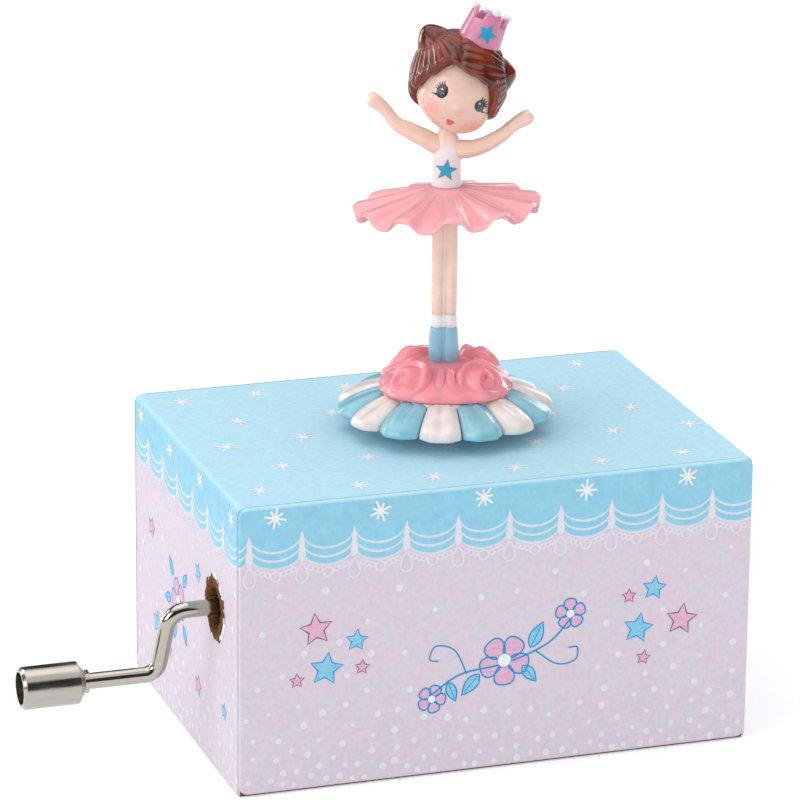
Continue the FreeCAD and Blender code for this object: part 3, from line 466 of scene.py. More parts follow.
def sparkle(sheet, u, v, radius, turn):
    """A white eight-rayed sparkle with long and short rays of even width."""
    half = 0.17
    outline = []
    for i in range(8):
        angle = pi * i / 4
        reach = radius if i % 2 == 0 else 0.78 * radius
        outline += moved([(reach, -half), (reach, half)], 0, 0, 1, angle)
        outline += moved([(2.9 * half, 0)], 0, 0, 1, angle + pi / 8)
    sheet.area("white", moved(outline, u, v, 1, turn))


def swag(t, post, low):
    """How far below the top edge a swag hangs, at a place along it from 0 to 1."""
    across = abs(2 * t - 1)
    return low - (low - post) * (SWAG_SOFT * across ** 2 + SWAG_STEEP * across ** 10)


def lace(sheet, start, period, length):
    """A lace edge below the swags: rings, a larger one at each middle, a post and a drop at each join."""
    drop = [(0.85 * sin(angle) * (1 - 0.4 * cos(angle)), -1.5 * cos(angle)) for angle in turns(28)]
    side = ((0.14, 4.6), (0.26, 5.3), (0.46, 6.2), (0.38, 6.9), (0.62, 7.8), (0.5, 8.6), (0.26, 9.1))
    post = [(0, 4.2)] + list(side) + [(-x, v) for x, v in side[::-1]]
    for i in range(-1, ceil(length / period) + 1):
        join = start + i * period
        for t in (0.16, 0.25, 0.345, 0.655, 0.75, 0.84):
            u = join + t * period
            if 0.8 < u < length - 0.8:
                sheet.line("lace", moved(circle(16, 0.4), u, swag(t, 8.3, 10.85)), 0.24, True)
        middle = join + period / 2
        if 0.9 < middle < length - 0.9:
            sheet.line("lace", moved(circle(20, 0.74), middle, 11.1), 0.26, True)
        if 1.2 < join < length - 1.2:
            sheet.line("lace", moved(drop, join, 10.95), 0.28, True)
            sheet.area("lace", [(join + x, v) for x, v in post])


def dots(sheet, length, seed, keep_clear):
    """Pale dots, few above and many towards the base."""
    scatter = random.Random(seed)
    highest, margin, tries = 14, 1.0, 4000
    placed = []
    for i in range(tries):
        u = scatter.uniform(margin, length - margin)
        v = scatter.uniform(highest, BOX_H - margin)
        low = (v - highest) / (BOX_H - highest)
        size = scatter.uniform(0.36, 0.6)
        apart = 6.2 - 4.7 * low
        if any(hypot(u - a, v - b) < apart for a, b in placed) or keep_clear(u, v):
            continue
        placed.append((u, v))
        sheet.area("pale", moved(circle(12, size), u, v))


def blossom(sheet, u, v, size, turn):
    """A plain blossom: five rounded petals and a round middle, all with an outline."""
    petal = [(0.62 + 0.42 * cos(a) - 0.06 * cos(2 * a), 0.40 * sin(a)) for a in turns(18)]
    for angle in turns(5):
        shape = moved(petal, u, v, size, turn + angle)
        sheet.area("pink", shape)
        sheet.line("deep", shape, 0.26, True)
    middle = moved(circle(16, 0.26), u, v, size)
    sheet.area("white", middle)
    sheet.line("deep", middle, 0.22, True)


def leaf(sheet, u, v, length, turn):
    steps = [i / 10 for i in range(11)]
    half = [(t * length, 0.24 * length * sin(pi * t ** 0.8)) for t in steps]
    shape = moved(half + [(x, -y) for x, y in half[-2:0:-1]], u, v, 1, turn)
    sheet.area("sky", shape)
    sheet.line("deep", shape, 0.22, True)
    sheet.line("deep", moved([(0.1 * length, 0), (0.85 * length, 0)], u, v, 1, turn), 0.14)


def tendril(sheet, u, v, points, width, flip):
    route = smooth_through([Vector((u + x * flip, v + y, 0)) for x, y in points], 8)
    sheet.line("deep", [(p.x, p.y) for p in route], width)


def spray(sheet, u, v, flip):
    """A loose spray: a large blossom, two smaller ones, leaves and curling stems."""
    tendril(sheet, u, v, ((-12, 4.5), (-7, 1.5), (0, 0.5), (7, -2), (11, -6)), 0.3, flip)
    tendril(sheet, u, v, ((-6, 1.5), (-8, -2.5), (-11, -3.5), (-12, -1.5), (-10.6, -1)), 0.24, flip)
    tendril(sheet, u, v, ((5, -1), (8.5, 1.5), (11.5, 1.2), (11.8, -0.8), (10.4, -0.9)), 0.24, flip)
    leaves = ((-4, 1.8, 4.2, 2.3), (4.2, -1.6, 4.4, -1.1), (-9, 2.6, 3.4, 1.2), (3, 1.2, 3.6, 0.9))
    for x, y, length, turn in leaves:
        leaf(sheet, u + x * flip, v + y, length, turn if flip > 0 else pi - turn)
    blossom(sheet, u, v, 4.1, 0.3)
    blossom(sheet, u + 10.6 * flip, v - 6.4, 2.5, 0.9)
    blossom(sheet, u - 11.6 * flip, v + 5.0, 2.3, 0.1)


FRONT_STARS = (
    (12, 20.2, 2.6, -0.1, True), (18.4, 22.6, 1.8, 0.1, False), (13.6, 26.7, 2.7, 0.15, False),
    (19.3, 27, 1.2, 0.1, True), (9, 28.1, 1.2, 0, True), (66.2, 19.4, 2.0, 0.15, False),
    (62.1, 20.3, 1.2, 0, True), (63.7, 25.7, 2.5, 0.2, False), (70.8, 25, 2.6, 0.15, True),
    (64.7, 30.6, 1.2, 0.2, True),
)
BACK_STARS = (
    (10, 21, 2.4, 0.1, True), (16, 27, 1.8, 0, False), (9, 32, 1.3, 0.3, False),
    (70, 20, 1.6, 0.2, False), (66, 27, 2.4, -0.1, True), (74, 31, 2.0, 0.2, False),
)
SIDE_STARS = (
    (10, 19, 1.8, 0.2, True), (13, 34, 2.2, 0.1, False), (36, 17.5, 1.7, 0.3, False),
    (20, 36, 1.2, 0, True), (36, 36, 1.8, 0.2, True), (50, 35, 1.4, 0.1, False),
)


def taken(stars, blooms):
    """A test for places that stars or blossoms cover."""
    def covers(u, v):
        if any(hypot(u - x, v - y) < radius + 0.8 for x, y, radius, turn, pink in stars):
            return True
        return any(abs(u - x) < wide and abs(v - y) < high for x, y, wide, high in blooms)
    return covers


def print_long_side(name, stars, first_join, first_sparkle, twist, middle, flip, seed):
    """The front or the back: lace, sparkles on the blue, a spray about the middle, stars and dots."""
    sheet = Print(name, "printed_card")
    lace(sheet, first_join, SWAG_FRONT, BOX_W)
    for i in range(5):
        sparkle(sheet, first_sparkle + 2 * i * SWAG_FRONT, 1.9 + 0.5 * (i % 2), 1.75, twist + i)
    spray(sheet, middle, 28.5, flip)
    for one in stars:
        star(sheet, *one)
    dots(sheet, BOX_W, seed, taken(stars, ((middle, 28, 15, 8),)))
    sheet.make()


CRANK_U, CRANK_V = BOX_D / 2 - CRANK_Y, BOX_H - CRANK_Z
# Where the cards' edges meet the wrap; a dark line painted there stands for the shadow in the seam
CARD_SEAM_SHADOWS = (CARD + 0.08, BOX_D - CARD - 0.08)


def print_sides():
    for name, seed in (("left", 5), ("right", 6)):
        sheet = Print(name, "printed_paper")
        lace(sheet, 0, SWAG_SIDE, BOX_D)
        for i in range(4):
            sparkle(sheet, SWAG_SIDE * (2 * i + 0.5), 2.2 + 0.5 * (i % 2), 1.7, 0.3 + i)
        u, v = 25, 26
        blossom(sheet, u, v, 3.6, 0.5)
        for turn in (0.9, 1.9, 2.9, 4.0, 5.4):
            leaf(sheet, u + 4.2 * cos(turn), v + 4.2 * sin(turn), 3.4, turn)
        for one in SIDE_STARS:
            star(sheet, *one)
        dots(sheet, BOX_D, seed, taken(SIDE_STARS, ((u, v, 7, 7), (CRANK_U, CRANK_V, 6, 6))))
        # A thin mauve line along each card edge: painted shadow in the seam
        for seam in CARD_SEAM_SHADOWS:
            sheet.line("mauve", ((seam, 1.0), (seam, BOX_H - 0.4)), 0.13)
        sheet.make()


def print_top():
    sheet = Print("top", "printed_paper")
    scatter = random.Random(12)
    for row in range(5):
        for column in range(6):
            u = 6 + column * 13.4 + (6.7 if row % 2 else 0) + scatter.uniform(-1, 1)
            v = 6 + row * 11.4 + scatter.uniform(-1, 1)
            if u < BOX_W - 3:
                sparkle(sheet, u, v, scatter.uniform(1.7, 2.0), scatter.uniform(0, 0.8))
    # A thin mauve line along each card edge: painted shadow in the seam
    for seam in CARD_SEAM_SHADOWS:
        sheet.line("mauve", ((1.4, seam), (BOX_W - 1.4, seam)), 0.06)
    sheet.make()


def ragged(name, rings, seed, material, slot):
    """A ragged ring about the crank's hole, from rows of radius, roughness and height off the side."""
    scatter = random.Random(seed)
    count, lumps = 168, 28
    coarse = [scatter.uniform(-1, 1) for i in range(lumps)]
    rows = []
    for radius, rough, lift in rings:
        row = []
        for i, angle in enumerate(turns(count)):
            part, at = modf(i * lumps / count)
            lump = coarse[int(at)] * (1 - part) + coarse[(int(at) + 1) % lumps] * part
            reach = radius + rough * (0.65 * lump + 0.35 * scatter.uniform(-1, 1))
            out = lift * (1 + 0.5 * scatter.random())
            y, z = CRANK_Y + reach * cos(angle), CRANK_Z + reach * sin(angle)
            row.append(Vector((-BOX_W / 2 - out, y, z)))
        rows.append(row)
    shape = Shape()
    shape.rows(rows)
    shape.piece(name, material, "box", slot)


def torn_hole():
    """The rough edge of the crank's hole: torn paper about it and crumbled board in its mouth."""
    rim = HOLE_R
    paper = ((rim + 0.45, 0.9, 0.02), (rim + 0.25, 0.7, 0.12), (rim, 0.3, 0.14), (rim - 0.2, 0.1, -0.2))
    ragged("torn_paper", paper, 4, INKS["white"], "printed_paper")
    board = ((rim + 0.25, 0.85, 0.03), (rim + 0.05, 0.75, 0.17), (rim - 0.8, 0.9, 0.22),
             (rim - 1.4, 0.8, -0.8), (rim - 0.3, 0.2, -2.6))
    ragged("torn_board", board, 9, FIBREBOARD, "fibreboard")


# The dancer


def finer(outline, step=0.3):
    """The same outline with points added along its longer sides."""
    found = []
    for (x, z), (next_x, next_z) in zip(outline, outline[1:] + outline[:1]):
        count = max(1, ceil(hypot(next_x - x, next_z - z) / step))
        for i in range(count):
            found.append((x + (next_x - x) * i / count, z + (next_z - z) * i / count))
    return found


def on_surface(target, matrix, outline, centre, lift):
    """Rows of points from an outline's rim to its middle, carried along the line of sight to a surface."""
    tree = BVHTree.FromObject(target, bpy.context.evaluated_depsgraph_get())
    along = (FIGURE.to_3x3() @ SIGHT).normalized()
    back_to_mm = FIGURE.inverted()
    rows = []
    for share in (1.0, 0.8, 0.6, 0.4, 0.2, 0.05):
        row = []
        for x, z in finer(outline):
            aim = matrix @ Vector((centre[0] + x * share, 0, centre[1] + z * share))
            hit, normal = tree.ray_cast(FIGURE @ (aim - SIGHT * 40), along)[:2]
            row.append(back_to_mm @ (hit + normal * lift * MM))
        rows.append(row)
    return rows


def painted(name, target, matrix, shapes, material, slot, lift=0.04):
    """Painted marks on a surface, each an outline about a centre."""
    gathered = Shape()
    for outline, centre in shapes:
        gathered.rows(on_surface(target, matrix, outline, centre, lift), cap_last=True)
    return gathered.on_figure(name, material, slot)


PETAL_INNER, PETAL_LENGTH = 8.4, 8.6
PETAL_PROFILE = (
    (PETAL_INNER, 52.5, 0.1), (10.0, 52.4, 0.3), (11.6, 52.0, 0.5), (13.2, 51.4, 0.62), (14.6, 50.75, 0.66),
    (15.7, 50.2, 0.6), (16.45, 49.75, 0.45), (16.9, 49.25, 0.25), (17.0, 48.8, 0.1), (16.75, 48.45, 0),
    (16.1, 48.4, 0), (14.0, 49.0, 0), (11.0, 49.9, 0), (PETAL_INNER, 50.3, 0),
)


def petals():
    """A ring of drooping petals, white and pale blue in turn, each with a crease, on a round boss."""
    half, across = pi / PETALS, 19
    for name, colour, first in (("petals_white", PETAL_WHITE, 0), ("petals_blue", PETAL_BLUE, 1)):
        shape = Shape()
        for index in range(first, PETALS, 2):
            middle = 2 * half * index - radians(93)
            rows = []
            for j in range(across):
                t = 2 * j / (across - 1) - 1
                angle = middle + 0.997 * half * t
                crease = 0.75 * exp(-(t / 0.13) ** 2) + 0.25 * cos(7 * t + index)
                facet = max(0.0, abs(t) - 0.4)
                row = []
                for radius, z, swell in PETAL_PROFILE:
                    outer = (radius - PETAL_INNER) / PETAL_LENGTH
                    reach = radius * (1 - 0.17 * outer ** 2 * facet)
                    height = z + swell * (0.5 - 1.3 * t ** 4 - crease * (1.1 - outer))
                    row.append(Vector((reach * cos(angle), reach * sin(angle), height)))
                rows.append(row)
            shape.solid(rows)
        material = moulded(name, colour, 0.34, 0.09)
        made = shape.on_figure(name, material, "petal_plastic", rounds=1)
        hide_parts("petal_base")
    boss = Shape()
    profile = ((1.55, 46.8), (3.4, 46.8), (3.5, 47), (3.5, 50.3), (9.5, 50.8), (10.2, 51.6), (10.2, 52.4),
               (1.55, 52.4))
    boss.rows(lathe(profile, 48))
    boss.on_figure("petal_boss", moulded("petal_boss", PETAL_WHITE), "petal_plastic")


def rose_bloom(shape, turn):
    """A soft rose that leans out of the mound: a round cushion with petals rolled about its middle."""
    lean = rotated(turn, "Z") @ Matrix.Translation((0, -6.6, 53.5)) @ rotated(50, "X")
    spokes, rings, edge = 80, 48, 0.22
    rows = []
    for r in range(1, rings + 1):
        share = r / rings
        polar = radians(110) * share
        row = []
        for angle in turns(spokes):
            past = (2.6 * share ** 0.85 + 0.06 * sin(3 * angle) - angle / (2 * pi)) % 1.0
            t = past / edge if past < edge else (1 - past) / (1 - edge)
            stand = 0.9 * (1 - 0.75 * share ** 3) * t * t * (3 - 2 * t)
            wide = (3.75 + 0.1 * cos(5 * angle) + stand) * sin(polar)
            point = Vector((wide * cos(angle), wide * sin(angle), (2.9 + stand) * cos(polar)))
            row.append(lean @ point)
        rows.append(row)
    shape.solid(rows)


MOUND_PROFILE = (
    (8.5, 52.5, 0), (10.3, 52.5, 0.6), (10.9, 52.75, 0.8), (10.7, 53.3, 0.7), (9.9, 54.0, 0.4),
    (8.4, 54.9, 0.1), (6.4, 55.7, 0), (4.4, 56.2, 0), (3.0, 56.45, 0), (1.0, 56.5, 0),
)
MOUND_LEAF = (
    (3.0, 0.15, 0.1), (2.1, 0.55, 0.5), (0.6, 0.85, 0.8), (-1.2, 0.95, 0.85), (-2.4, 0.7, 0.5),
    (-3.0, 0.15, 0.1),
)


def mound():
    """The pink mound: a soft dome, four roses, and a pair of leaf-shaped petals between each two."""
    dome = Shape()
    spokes = 160
    rows = []
    for radius, z, frill in MOUND_PROFILE:
        row = []
        for angle in turns(spokes):
            wave = cos(14 * angle + 0.7) + 0.5 * cos(5 * angle)
            reach = radius + frill * (0.35 * wave - 0.6 * cos(ROSES * angle) - 0.3)
            row.append(Vector((reach * cos(angle), reach * sin(angle), z + 0.15 * frill * wave)))
        rows.append(row)
    dome.solid(rows)
    for i in range(ROSES):
        for side in (-7, 7):
            round_to = rotated(360 / ROSES * i + side, "Z")
            lean = round_to @ Matrix.Translation((0, -6.9, 54.9)) @ rotated(38, "X")
            leaf_rows = []
            for y, wide, high in MOUND_LEAF:
                leaf_rows.append([lean @ Vector((wide * x, y, high * h)) for x, h in circle(16, 1.15)])
            dome.solid(leaf_rows)
    pink = moulded("rose_pink", ROSE, 0.38, 0.06, 0.25)
    made = dome.on_figure("rose_dome", pink, "rose_plastic")
    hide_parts("rose_mound")
    blooms = Shape()
    for i in range(ROSES):
        rose_bloom(blooms, 360 / ROSES * (i + 0.5))
    blooms.on_figure("roses", pink, "rose_plastic")


def legs():
    """Two slim legs moulded together along a core, with a white ankle band and blue slippers."""
    middle, gap, core = -0.3, 0.98, 0.78
    bands = (
        # The legs' skin is lighter than SKIN: painted light against the skirt's shadow
        ("lit_legs_skin", (0.95, 0.815, 0.75), (
            (1.04, 82.8), (1.04, 80), (1.04, 73), (1.03, 66), (1.02, 63.2))),
        ("ankle_bands", (0.93, 0.90, 0.91), ((1.0, 64.2), (1.06, 63.9), (1.09, 62.8), (1.12, 61.7))),
        ("slippers", (0.54, 0.74, 0.83), (
            (0.9, 62.1), (1.1, 62.05), (1.18, 61.8), (1.3, 60.2), (1.44, 58.6), (1.4, 57.6), (1.15, 56.6),
            (0.8, 56.0), (0.35, 55.7))),
    )
    for name, colour, profile in bands:
        shape = Shape()
        for side, share in ((-1, 1.0), (0, core), (1, 1.0)):
            rows = lathe([(radius * share, z) for radius, z in profile], 28, (middle + gap * side, 0))
            for row in rows:
                for point in row:
                    point.y *= 1.12
            shape.solid(rows)
        made = shape.on_figure(name, moulded(name, colour), "leg_plastic", rounds=1)
        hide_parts("legs")


def skirt():
    """The tutu: a thin plate with soft waves that deepen to the hem, fine pleats, and a rounded edge."""
    spokes, rings, reach = 36 * SKIRT_WAVES, 30, 14.6
    upper, lower = [], []
    for r in range(rings + 1):
        share = r / rings
        above, under = [], []
        for angle in turns(spokes):
            turn = SKIRT_WAVES * (angle + radians(87.5))
            wave = cos(turn - 0.35 * sin(2 * turn))
            pleat = cos(5 * turn + 2 * sin(3 * angle)) * (1 - share) * share
            radius = WAIST_R - 0.1 + (reach - 0.25 + 0.25 * wave - WAIST_R) * share
            way = Vector((cos(angle), sin(angle), 0))
            z = 84.5 - 3.1 * share ** 1.15 + (0.07 * way.x - 0.065 * way.y) * (radius - 1.9)
            z += 0.9 * wave * share ** 1.6 + 0.2 * pleat
            thick = 0.85 + 0.4 * (1 - share)
            past = min(1.0, max(0.0, share - 0.93) / 0.07)
            edge = 0.5 * thick * (1 - sqrt(1 - past * past))
            above.append(way * radius + Vector((0, 0, z - edge)))
            under.append(way * radius + Vector((0, 0, z - thick + edge)))
        upper.append(above)
        lower.append(under)
    shape = Shape()
    shape.solid(upper + lower[::-1])
    pink = moulded("skirt_pink", SKIRT, 0.4, 0.05, 0.25)
    made = shape.on_figure("tutu", pink, "skirt_plastic")
    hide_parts("skirt")


def bodice_material():
    """White paint on the bodice that thins to the skin colour at the neckline and the arms."""
    paint = Paint("bodice", **LACQUER)
    cloud = paint.noise(0.35)
    paint.bump(cloud, 0.25, 0.08)
    aside = paint.math("ABSOLUTE", paint.math("SUBTRACT", paint.axis("X"), SPINDLE_X - 0.15))
    edge = paint.math("ADD", paint.axis("Z"), paint.math("ADD", paint.math("MULTIPLY", cloud, 1.4), aside))
    white = paint.shade(linear((0.925, 0.88, 0.875)), 0.04, cloud)
    skin = paint.shade(linear(SKIN), 0.04, cloud)
    bare = paint.ramp(edge, 92.0, 94.4)
    return paint.finish(paint.mix(bare, white, skin), paint.ramp(cloud, 0.3, 0.7, 0.28, 0.4))


def limb(shape, places, radii):
    """A round limb along a smooth line, closed at a rounded end."""
    line = smooth_through([Vector(p) for p in places], 6)
    sizes = [r.x for r in smooth_through([Vector((r, 0, 0)) for r in radii], 6)]
    rows = []
    for i, (point, radius) in enumerate(zip(line, sizes)):
        run = (line[min(i + 1, len(line) - 1)] - line[max(i - 1, 0)]).normalized()
        across = run.cross(Vector((0, 1, 0))).normalized()
        other = run.cross(across)
        rows.append([point + across * x + other * y for x, y in circle(20, radius)])
    shape.solid(rows)


RIGHT_ARM = (
    (-0.4, 90.6, 1.5), (-1.9, 91.2, 1.55), (-3.75, 92.2, 1.45), (-5.9, 93.3, 1.3), (-7.95, 94.5, 1.12),
    (-9.45, 96.4, 1.02), (-10.5, 97.5, 1.14), (-11.4, 98.1, 1.22), (-12.05, 98.35, 1.0), (-12.4, 98.45, 0.4),
)
LEFT_ARM = (
    (0.4, 90.3, 1.5), (2.0, 90.4, 1.5), (4.0, 90.6, 1.32), (6.15, 91.5, 1.22), (8.3, 92.85, 1.1),
    (9.9, 94.3, 1.02), (11.0, 95.1, 1.12), (11.9, 95.6, 1.2), (12.5, 95.95, 1.0), (12.85, 96.15, 0.4),
)


def upper_body():
    """Bodice, neck and arms."""
    shape = Shape()
    profile = ((2.3, 84.4), (2.36, 84.7), (2.2, 85.8), (2.16, 87.3), (2.24, 88.8), (2.3, 90.2), (2.2, 91.3),
               (1.9, 92.1), (1.5, 92.8), (1.3, 93.6), (1.25, 94.8), (1.25, 96.8))
    rows = lathe(profile, 36, (-0.15, 0))
    for row in rows:
        for point in row:
            point.y *= 0.85
    shape.solid(rows)
    torso = shape.on_figure("bodice", bodice_material(), "body_plastic", rounds=1)
    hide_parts("upper_body")
    arms = Shape()
    for arm in (RIGHT_ARM, LEFT_ARM):
        limb(arms, [(x, -0.05 * abs(x), z) for x, z, radius in arm], [radius for x, z, radius in arm])
    arms.on_figure("arms", moulded("arm_skin", SKIN), "body_plastic", rounds=1)
    outline = [(x, -z) for x, z in moved(star_outline(0.45), 0, 0, 1.8, 0.14)]
    blue = moulded("bodice_star", STAR_BLUE)
    painted("bodice_star", torso, Matrix.Identity(4), [(outline, (-0.25, 86.9))], blue, "body_plastic")


def face_material():
    """Skin darkened by painted shade, with a soft blush on each cheek."""
    paint = Paint("face", **LACQUER)
    paint.shader.inputs["Coat Weight"].default_value = 0.15
    cloud = paint.noise(0.35)
    paint.bump(cloud, 0.2, 0.06)
    colour = paint.shade(linear(SHADED_FACE_SKIN), 0.03, cloud)
    for cheek in ((-3.0, -4.6, -4.2), (4.1, -3.4, -5.3)):
        spot = FIGURE @ HEAD_FLAT @ Vector(cheek)
        away = paint.node("ShaderNodeVectorMath", {0: paint.place, 1: spot}, operation="DISTANCE")
        blush = paint.ramp(away.outputs["Value"], 0.4 * MM, 2.3 * MM, 0.5, 0.0)
        colour = paint.mix(blush, colour, linear((0.95, 0.52, 0.50)))
    return paint.finish(colour, paint.ramp(cloud, 0.3, 0.7, 0.24, 0.34))


EYES = ((-1.9, -2.5, 0.86, 1.22, -1), (4.15, -2.6, 0.74, 1.02, 1))


def face_marks(face):
    """Painted eyes with lashes and highlights, and small lips."""
    eyes, irises, shines, lashes, lips = [], [], [], [], []
    for x, z, wide, tall, side in EYES:
        egg = [(wide * a, tall * b if b > 0 else 0.82 * tall * b) for a, b in circle(32, 1.0)]
        eyes.append((egg, (x, z)))
        irises.append(([(0.5 * wide * a, 0.27 * tall * b) for a, b in circle(24, 1.0)], (x + 0.1, z - 0.48)))
        shines.append((circle(14, 0.16), (x - 0.12, z + 0.42)))
        shines.append((circle(12, 0.08), (x + 0.34, z - 0.12)))
        for i in range(5):
            angle = radians(92 - side * (18 * i - 4))
            sweep = angle - 0.25 * side
            root = (x + wide * 0.8 * cos(angle), z + tall * 0.8 * sin(angle))
            thick = Vector((sin(angle), -cos(angle))) * 0.2
            tip = Vector((cos(sweep), sin(sweep))) * (0.95 - 0.05 * i)
            lashes.append(((thick, tip, -thick), root))
        corner = (x + side * wide * 0.7, z - 0.62)
        lashes.append((((0, 0.17), (side, 0.08), (0, -0.15)), corner))
    for shift in (-0.24, 0.24):
        lips.append(([(0.4 * a, 0.26 * b) for a, b in circle(18, 1.0)], (0.84 + shift, -6.35)))
    lips.append(([(0.48 * a, 0.28 * b) for a, b in circle(18, 1.0)], (0.84, -6.6)))
    for name, marks, colour, lift in (
            ("eyes", eyes, (0.14, 0.14, 0.16), 0.03), ("irises", irises, (0.22, 0.27, 0.33), 0.05),
            ("eye_shines", shines, (0.78, 0.81, 0.86), 0.07), ("lashes", lashes, (0.15, 0.12, 0.11), 0.04),
            ("lips", lips, (0.91, 0.42, 0.43), 0.04)):
        painted(name, face, HEAD_FLAT, marks, moulded(name, colour, 0.22), "face_plastic", lift)


def head():
    """The head: full cheeks, a small chin and a button nose."""
    shape = Shape()
    spokes, rings = 96, 60
    jaw = Vector((0.66, -0.2, -0.72))
    rows = []
    for r in range(1, rings):
        polar = pi * r / rings
        row = []
        for angle in turns(spokes):
            level = Vector((cos(angle), sin(angle), 0))
            out = level * sin(polar) + Vector((0, 0, cos(polar)))
            cheek = exp(-((out.z + 0.55) / 0.35) ** 2)
            chin = max(0.0, -out.z - 0.65)
            wide = (5.75 + 0.4 * cheek) * (1 - 0.2 * chin)
            point = Vector((out.x * wide, out.y * 5.7 * (1 - 0.2 * chin), out.z * 6.4 - 1.0))
            point += out * 0.75 * exp(-(out - jaw).length_squared / 0.3)
            if point.y < 0:
                point.y -= 0.45 * exp(-(point.x ** 2 + (point.z + 2.4) ** 2) / 0.4)
                for x in (-3.2, 3.2):
                    point.y += 0.16 * exp(-((point.x - x) ** 2 + (point.z + 0.4) ** 2) / 1.6)
            row.append(point)
        rows.append(row)
    shape.solid(rows)
    made = shape.on_figure("face", face_material(), "face_plastic", HEAD, rounds=1)
    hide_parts("head")
    face_marks(made)


HAIRLINE = (
    (-180, 145), (-105, 147), (-62, 113), (-45, 90), (-24, 61), (18, 69), (40, 76), (63, 115), (84, 125),
    (112, 142), (180, 145),
)
BUNS = (Vector((-6.6, 0.4, 4.9)).normalized(), Vector((7.3, 0.4, 3.6)).normalized())


def hairline(bearing):
    """How many degrees down from the crown of the head the hair reaches, by the way round from the front."""
    for (a, low), (b, high) in zip(HAIRLINE, HAIRLINE[1:]):
        if bearing <= b:
            t = (bearing - a) / (b - a)
            return low + (high - low) * t * t * (3 - 2 * t)
    return HAIRLINE[-1][1]


def combed(out):
    """How far the hair stands off its plain round: two buns, strands drawn to them, and a parting."""
    side = 0 if out.x < -0.36 - 0.25 * out.y else 1
    bun = BUNS[side]
    away = degrees(out.angle(bun))
    first = bun.cross(Vector((0, 1, 0))).normalized()
    second = bun.cross(first)
    around = atan2(out.dot(second), out.dot(first))
    near = abs(out.x + 0.36 + 0.25 * out.y)
    parting = exp(-(near / 0.06) ** 2) if out.y < 0.2 else 0.0
    strand = abs(sin(14 * around + 0.06 * away)) ** 0.7
    height = 0.26 * strand * min(1.0, away / 25) - 0.3 * parting
    for index, (peak, width) in enumerate(((2.35, 15.5), (1.3, 13))):
        height += peak * exp(-(degrees(out.angle(BUNS[index])) / width) ** 2)
    return height - 0.22 * exp(-((away - 21) / 3.5) ** 2)


def hair_material():
    """Brown paint, darker and lighter along the strands, under a clear gloss."""
    paint = Paint("hair_brown", Coat_Weight=0.9, Coat_Roughness=0.04, Specular_IOR_Level=0.1)
    strand = paint.noise(0.25, 4.0, (1.5, 1.5, 0.6))
    fine = paint.noise(1.0, 5.0)
    colour = paint.mix(paint.ramp(strand, 0.3, 0.7), linear(HAIR), linear(HAIR_LIGHT))
    paint.bump(fine, 0.12, 0.08)
    return paint.finish(colour, paint.ramp(fine, 0.3, 0.7, 0.24, 0.34))


def hair():
    """Combed hair over the head with strand grooves, a rolled fringe, and two buns."""
    shape = Shape()
    spokes, rings = 320, 70
    tucks = (0.0, 0.5, 1.2, 2.0)
    rows = []
    for r in range(rings + len(tucks)):
        share = min(1.0, (r + 0.3) / rings)
        inward = tucks[max(0, r - rings)]
        row = []
        for s in range(spokes):
            bearing = 360 * s / spokes - 180
            angle = radians(bearing)
            polar = radians(hairline(bearing)) * share
            level = Vector((sin(angle), -cos(angle), 0))
            out = level * sin(polar) + Vector((0, 0, cos(polar)))
            roll = 0.3 * exp(-((share - 0.93) / 0.07) ** 2) - 0.25 * max(0.0, share - 0.97) / 0.03
            size = Vector((7.45, 6.9, 7.4)) + Vector((1, 1, 1)) * (combed(out) + roll - inward)
            row.append(Vector((out.x * size.x - 0.2, out.y * size.y + 0.6, out.z * size.z + 0.5)))
        rows.append(row)
    shape.rows(rows, cap_first=True)
    brown = hair_material()
    made = shape.on_figure("hair_combed", brown, "hair_plastic", HEAD_FLAT)
    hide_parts("hair")


CROWN_LEVELS = (
    (2.75, -2.2), (3.4, -2.2), (3.38, 0), (3.2, 0.35), (3.02, 0.7), (2.92, 0.93), (2.75, 1.0), (2.45, 0.97),
    (2.5, 0.6),
)


def crown():
    """A small crown: a band that narrows upward into four round points, with white tips and a star."""
    spokes, points, turned = 240, 4, radians(9)
    rows = [[] for level in CROWN_LEVELS]
    for angle in turns(spokes):
        off = (angle + pi / 2 - turned + pi / points) % (2 * pi / points) - pi / points
        t = min(1.0, abs(off) / radians(30))
        high = 2.6 + 1.8 * (1 - t ** 4) ** 0.5
        out = Vector((cos(angle), sin(angle), 0))
        for row, (radius, level) in zip(rows, CROWN_LEVELS):
            z = level * high if level > 0 else level
            row.append(out * radius + Vector((0, 0, z)))
    rows.append(rows[0])
    shape = Shape()
    shape.rows(rows)
    pink = moulded("crown_pink", CROWN_PINK, 0.34)
    made = shape.on_figure("crown_band", pink, "crown_plastic", CROWN)
    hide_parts("crown")
    tips = Shape()
    steps = [pi * k / 12 for k in range(1, 12)]
    ball = [(0.78 * sin(step), 4.3 - 0.62 * cos(step)) for step in steps]
    for i in range(points):
        angle = 2 * pi * i / points - pi / 2 + turned
        centre = (2.65 * cos(angle), 2.65 * sin(angle))
        tips.solid(lathe(ball, 20, centre))
    white = moulded("crown_tip_white", (0.93, 0.88, 0.905))
    tips.on_figure("crown_tips", white, "crown_plastic", CROWN)
    outline = moved([(x, -z) for x, z in star_outline(0.45)], 0, 0, 1.7, radians(-10))
    blue = moulded("crown_star", STAR_BLUE)
    painted("crown_star", made, CROWN, [(outline, (0.75, 0.75))], blue, "crown_plastic")


# Stage


def seen_rays(tree):
    """One for rays that show the background: from the camera, or off metal and through glass."""
    rays = tree.nodes.new("ShaderNodeLightPath")
    seen = rays.outputs["Is Camera Ray"]
    for name in ("Is Glossy Ray", "Is Transmission Ray"):
        either = tree.nodes.new("ShaderNodeMath")
        either.operation = "MAXIMUM"
        tree.links.new(seen, either.inputs[0])
        tree.links.new(rays.outputs[name], either.inputs[1])
        seen = either.outputs[0]
    return seen


def made_stage(name, points, faces, material):
    """A floor or a panel that is not part of the object."""
    made = new_object(name, points, faces, material)
    return made


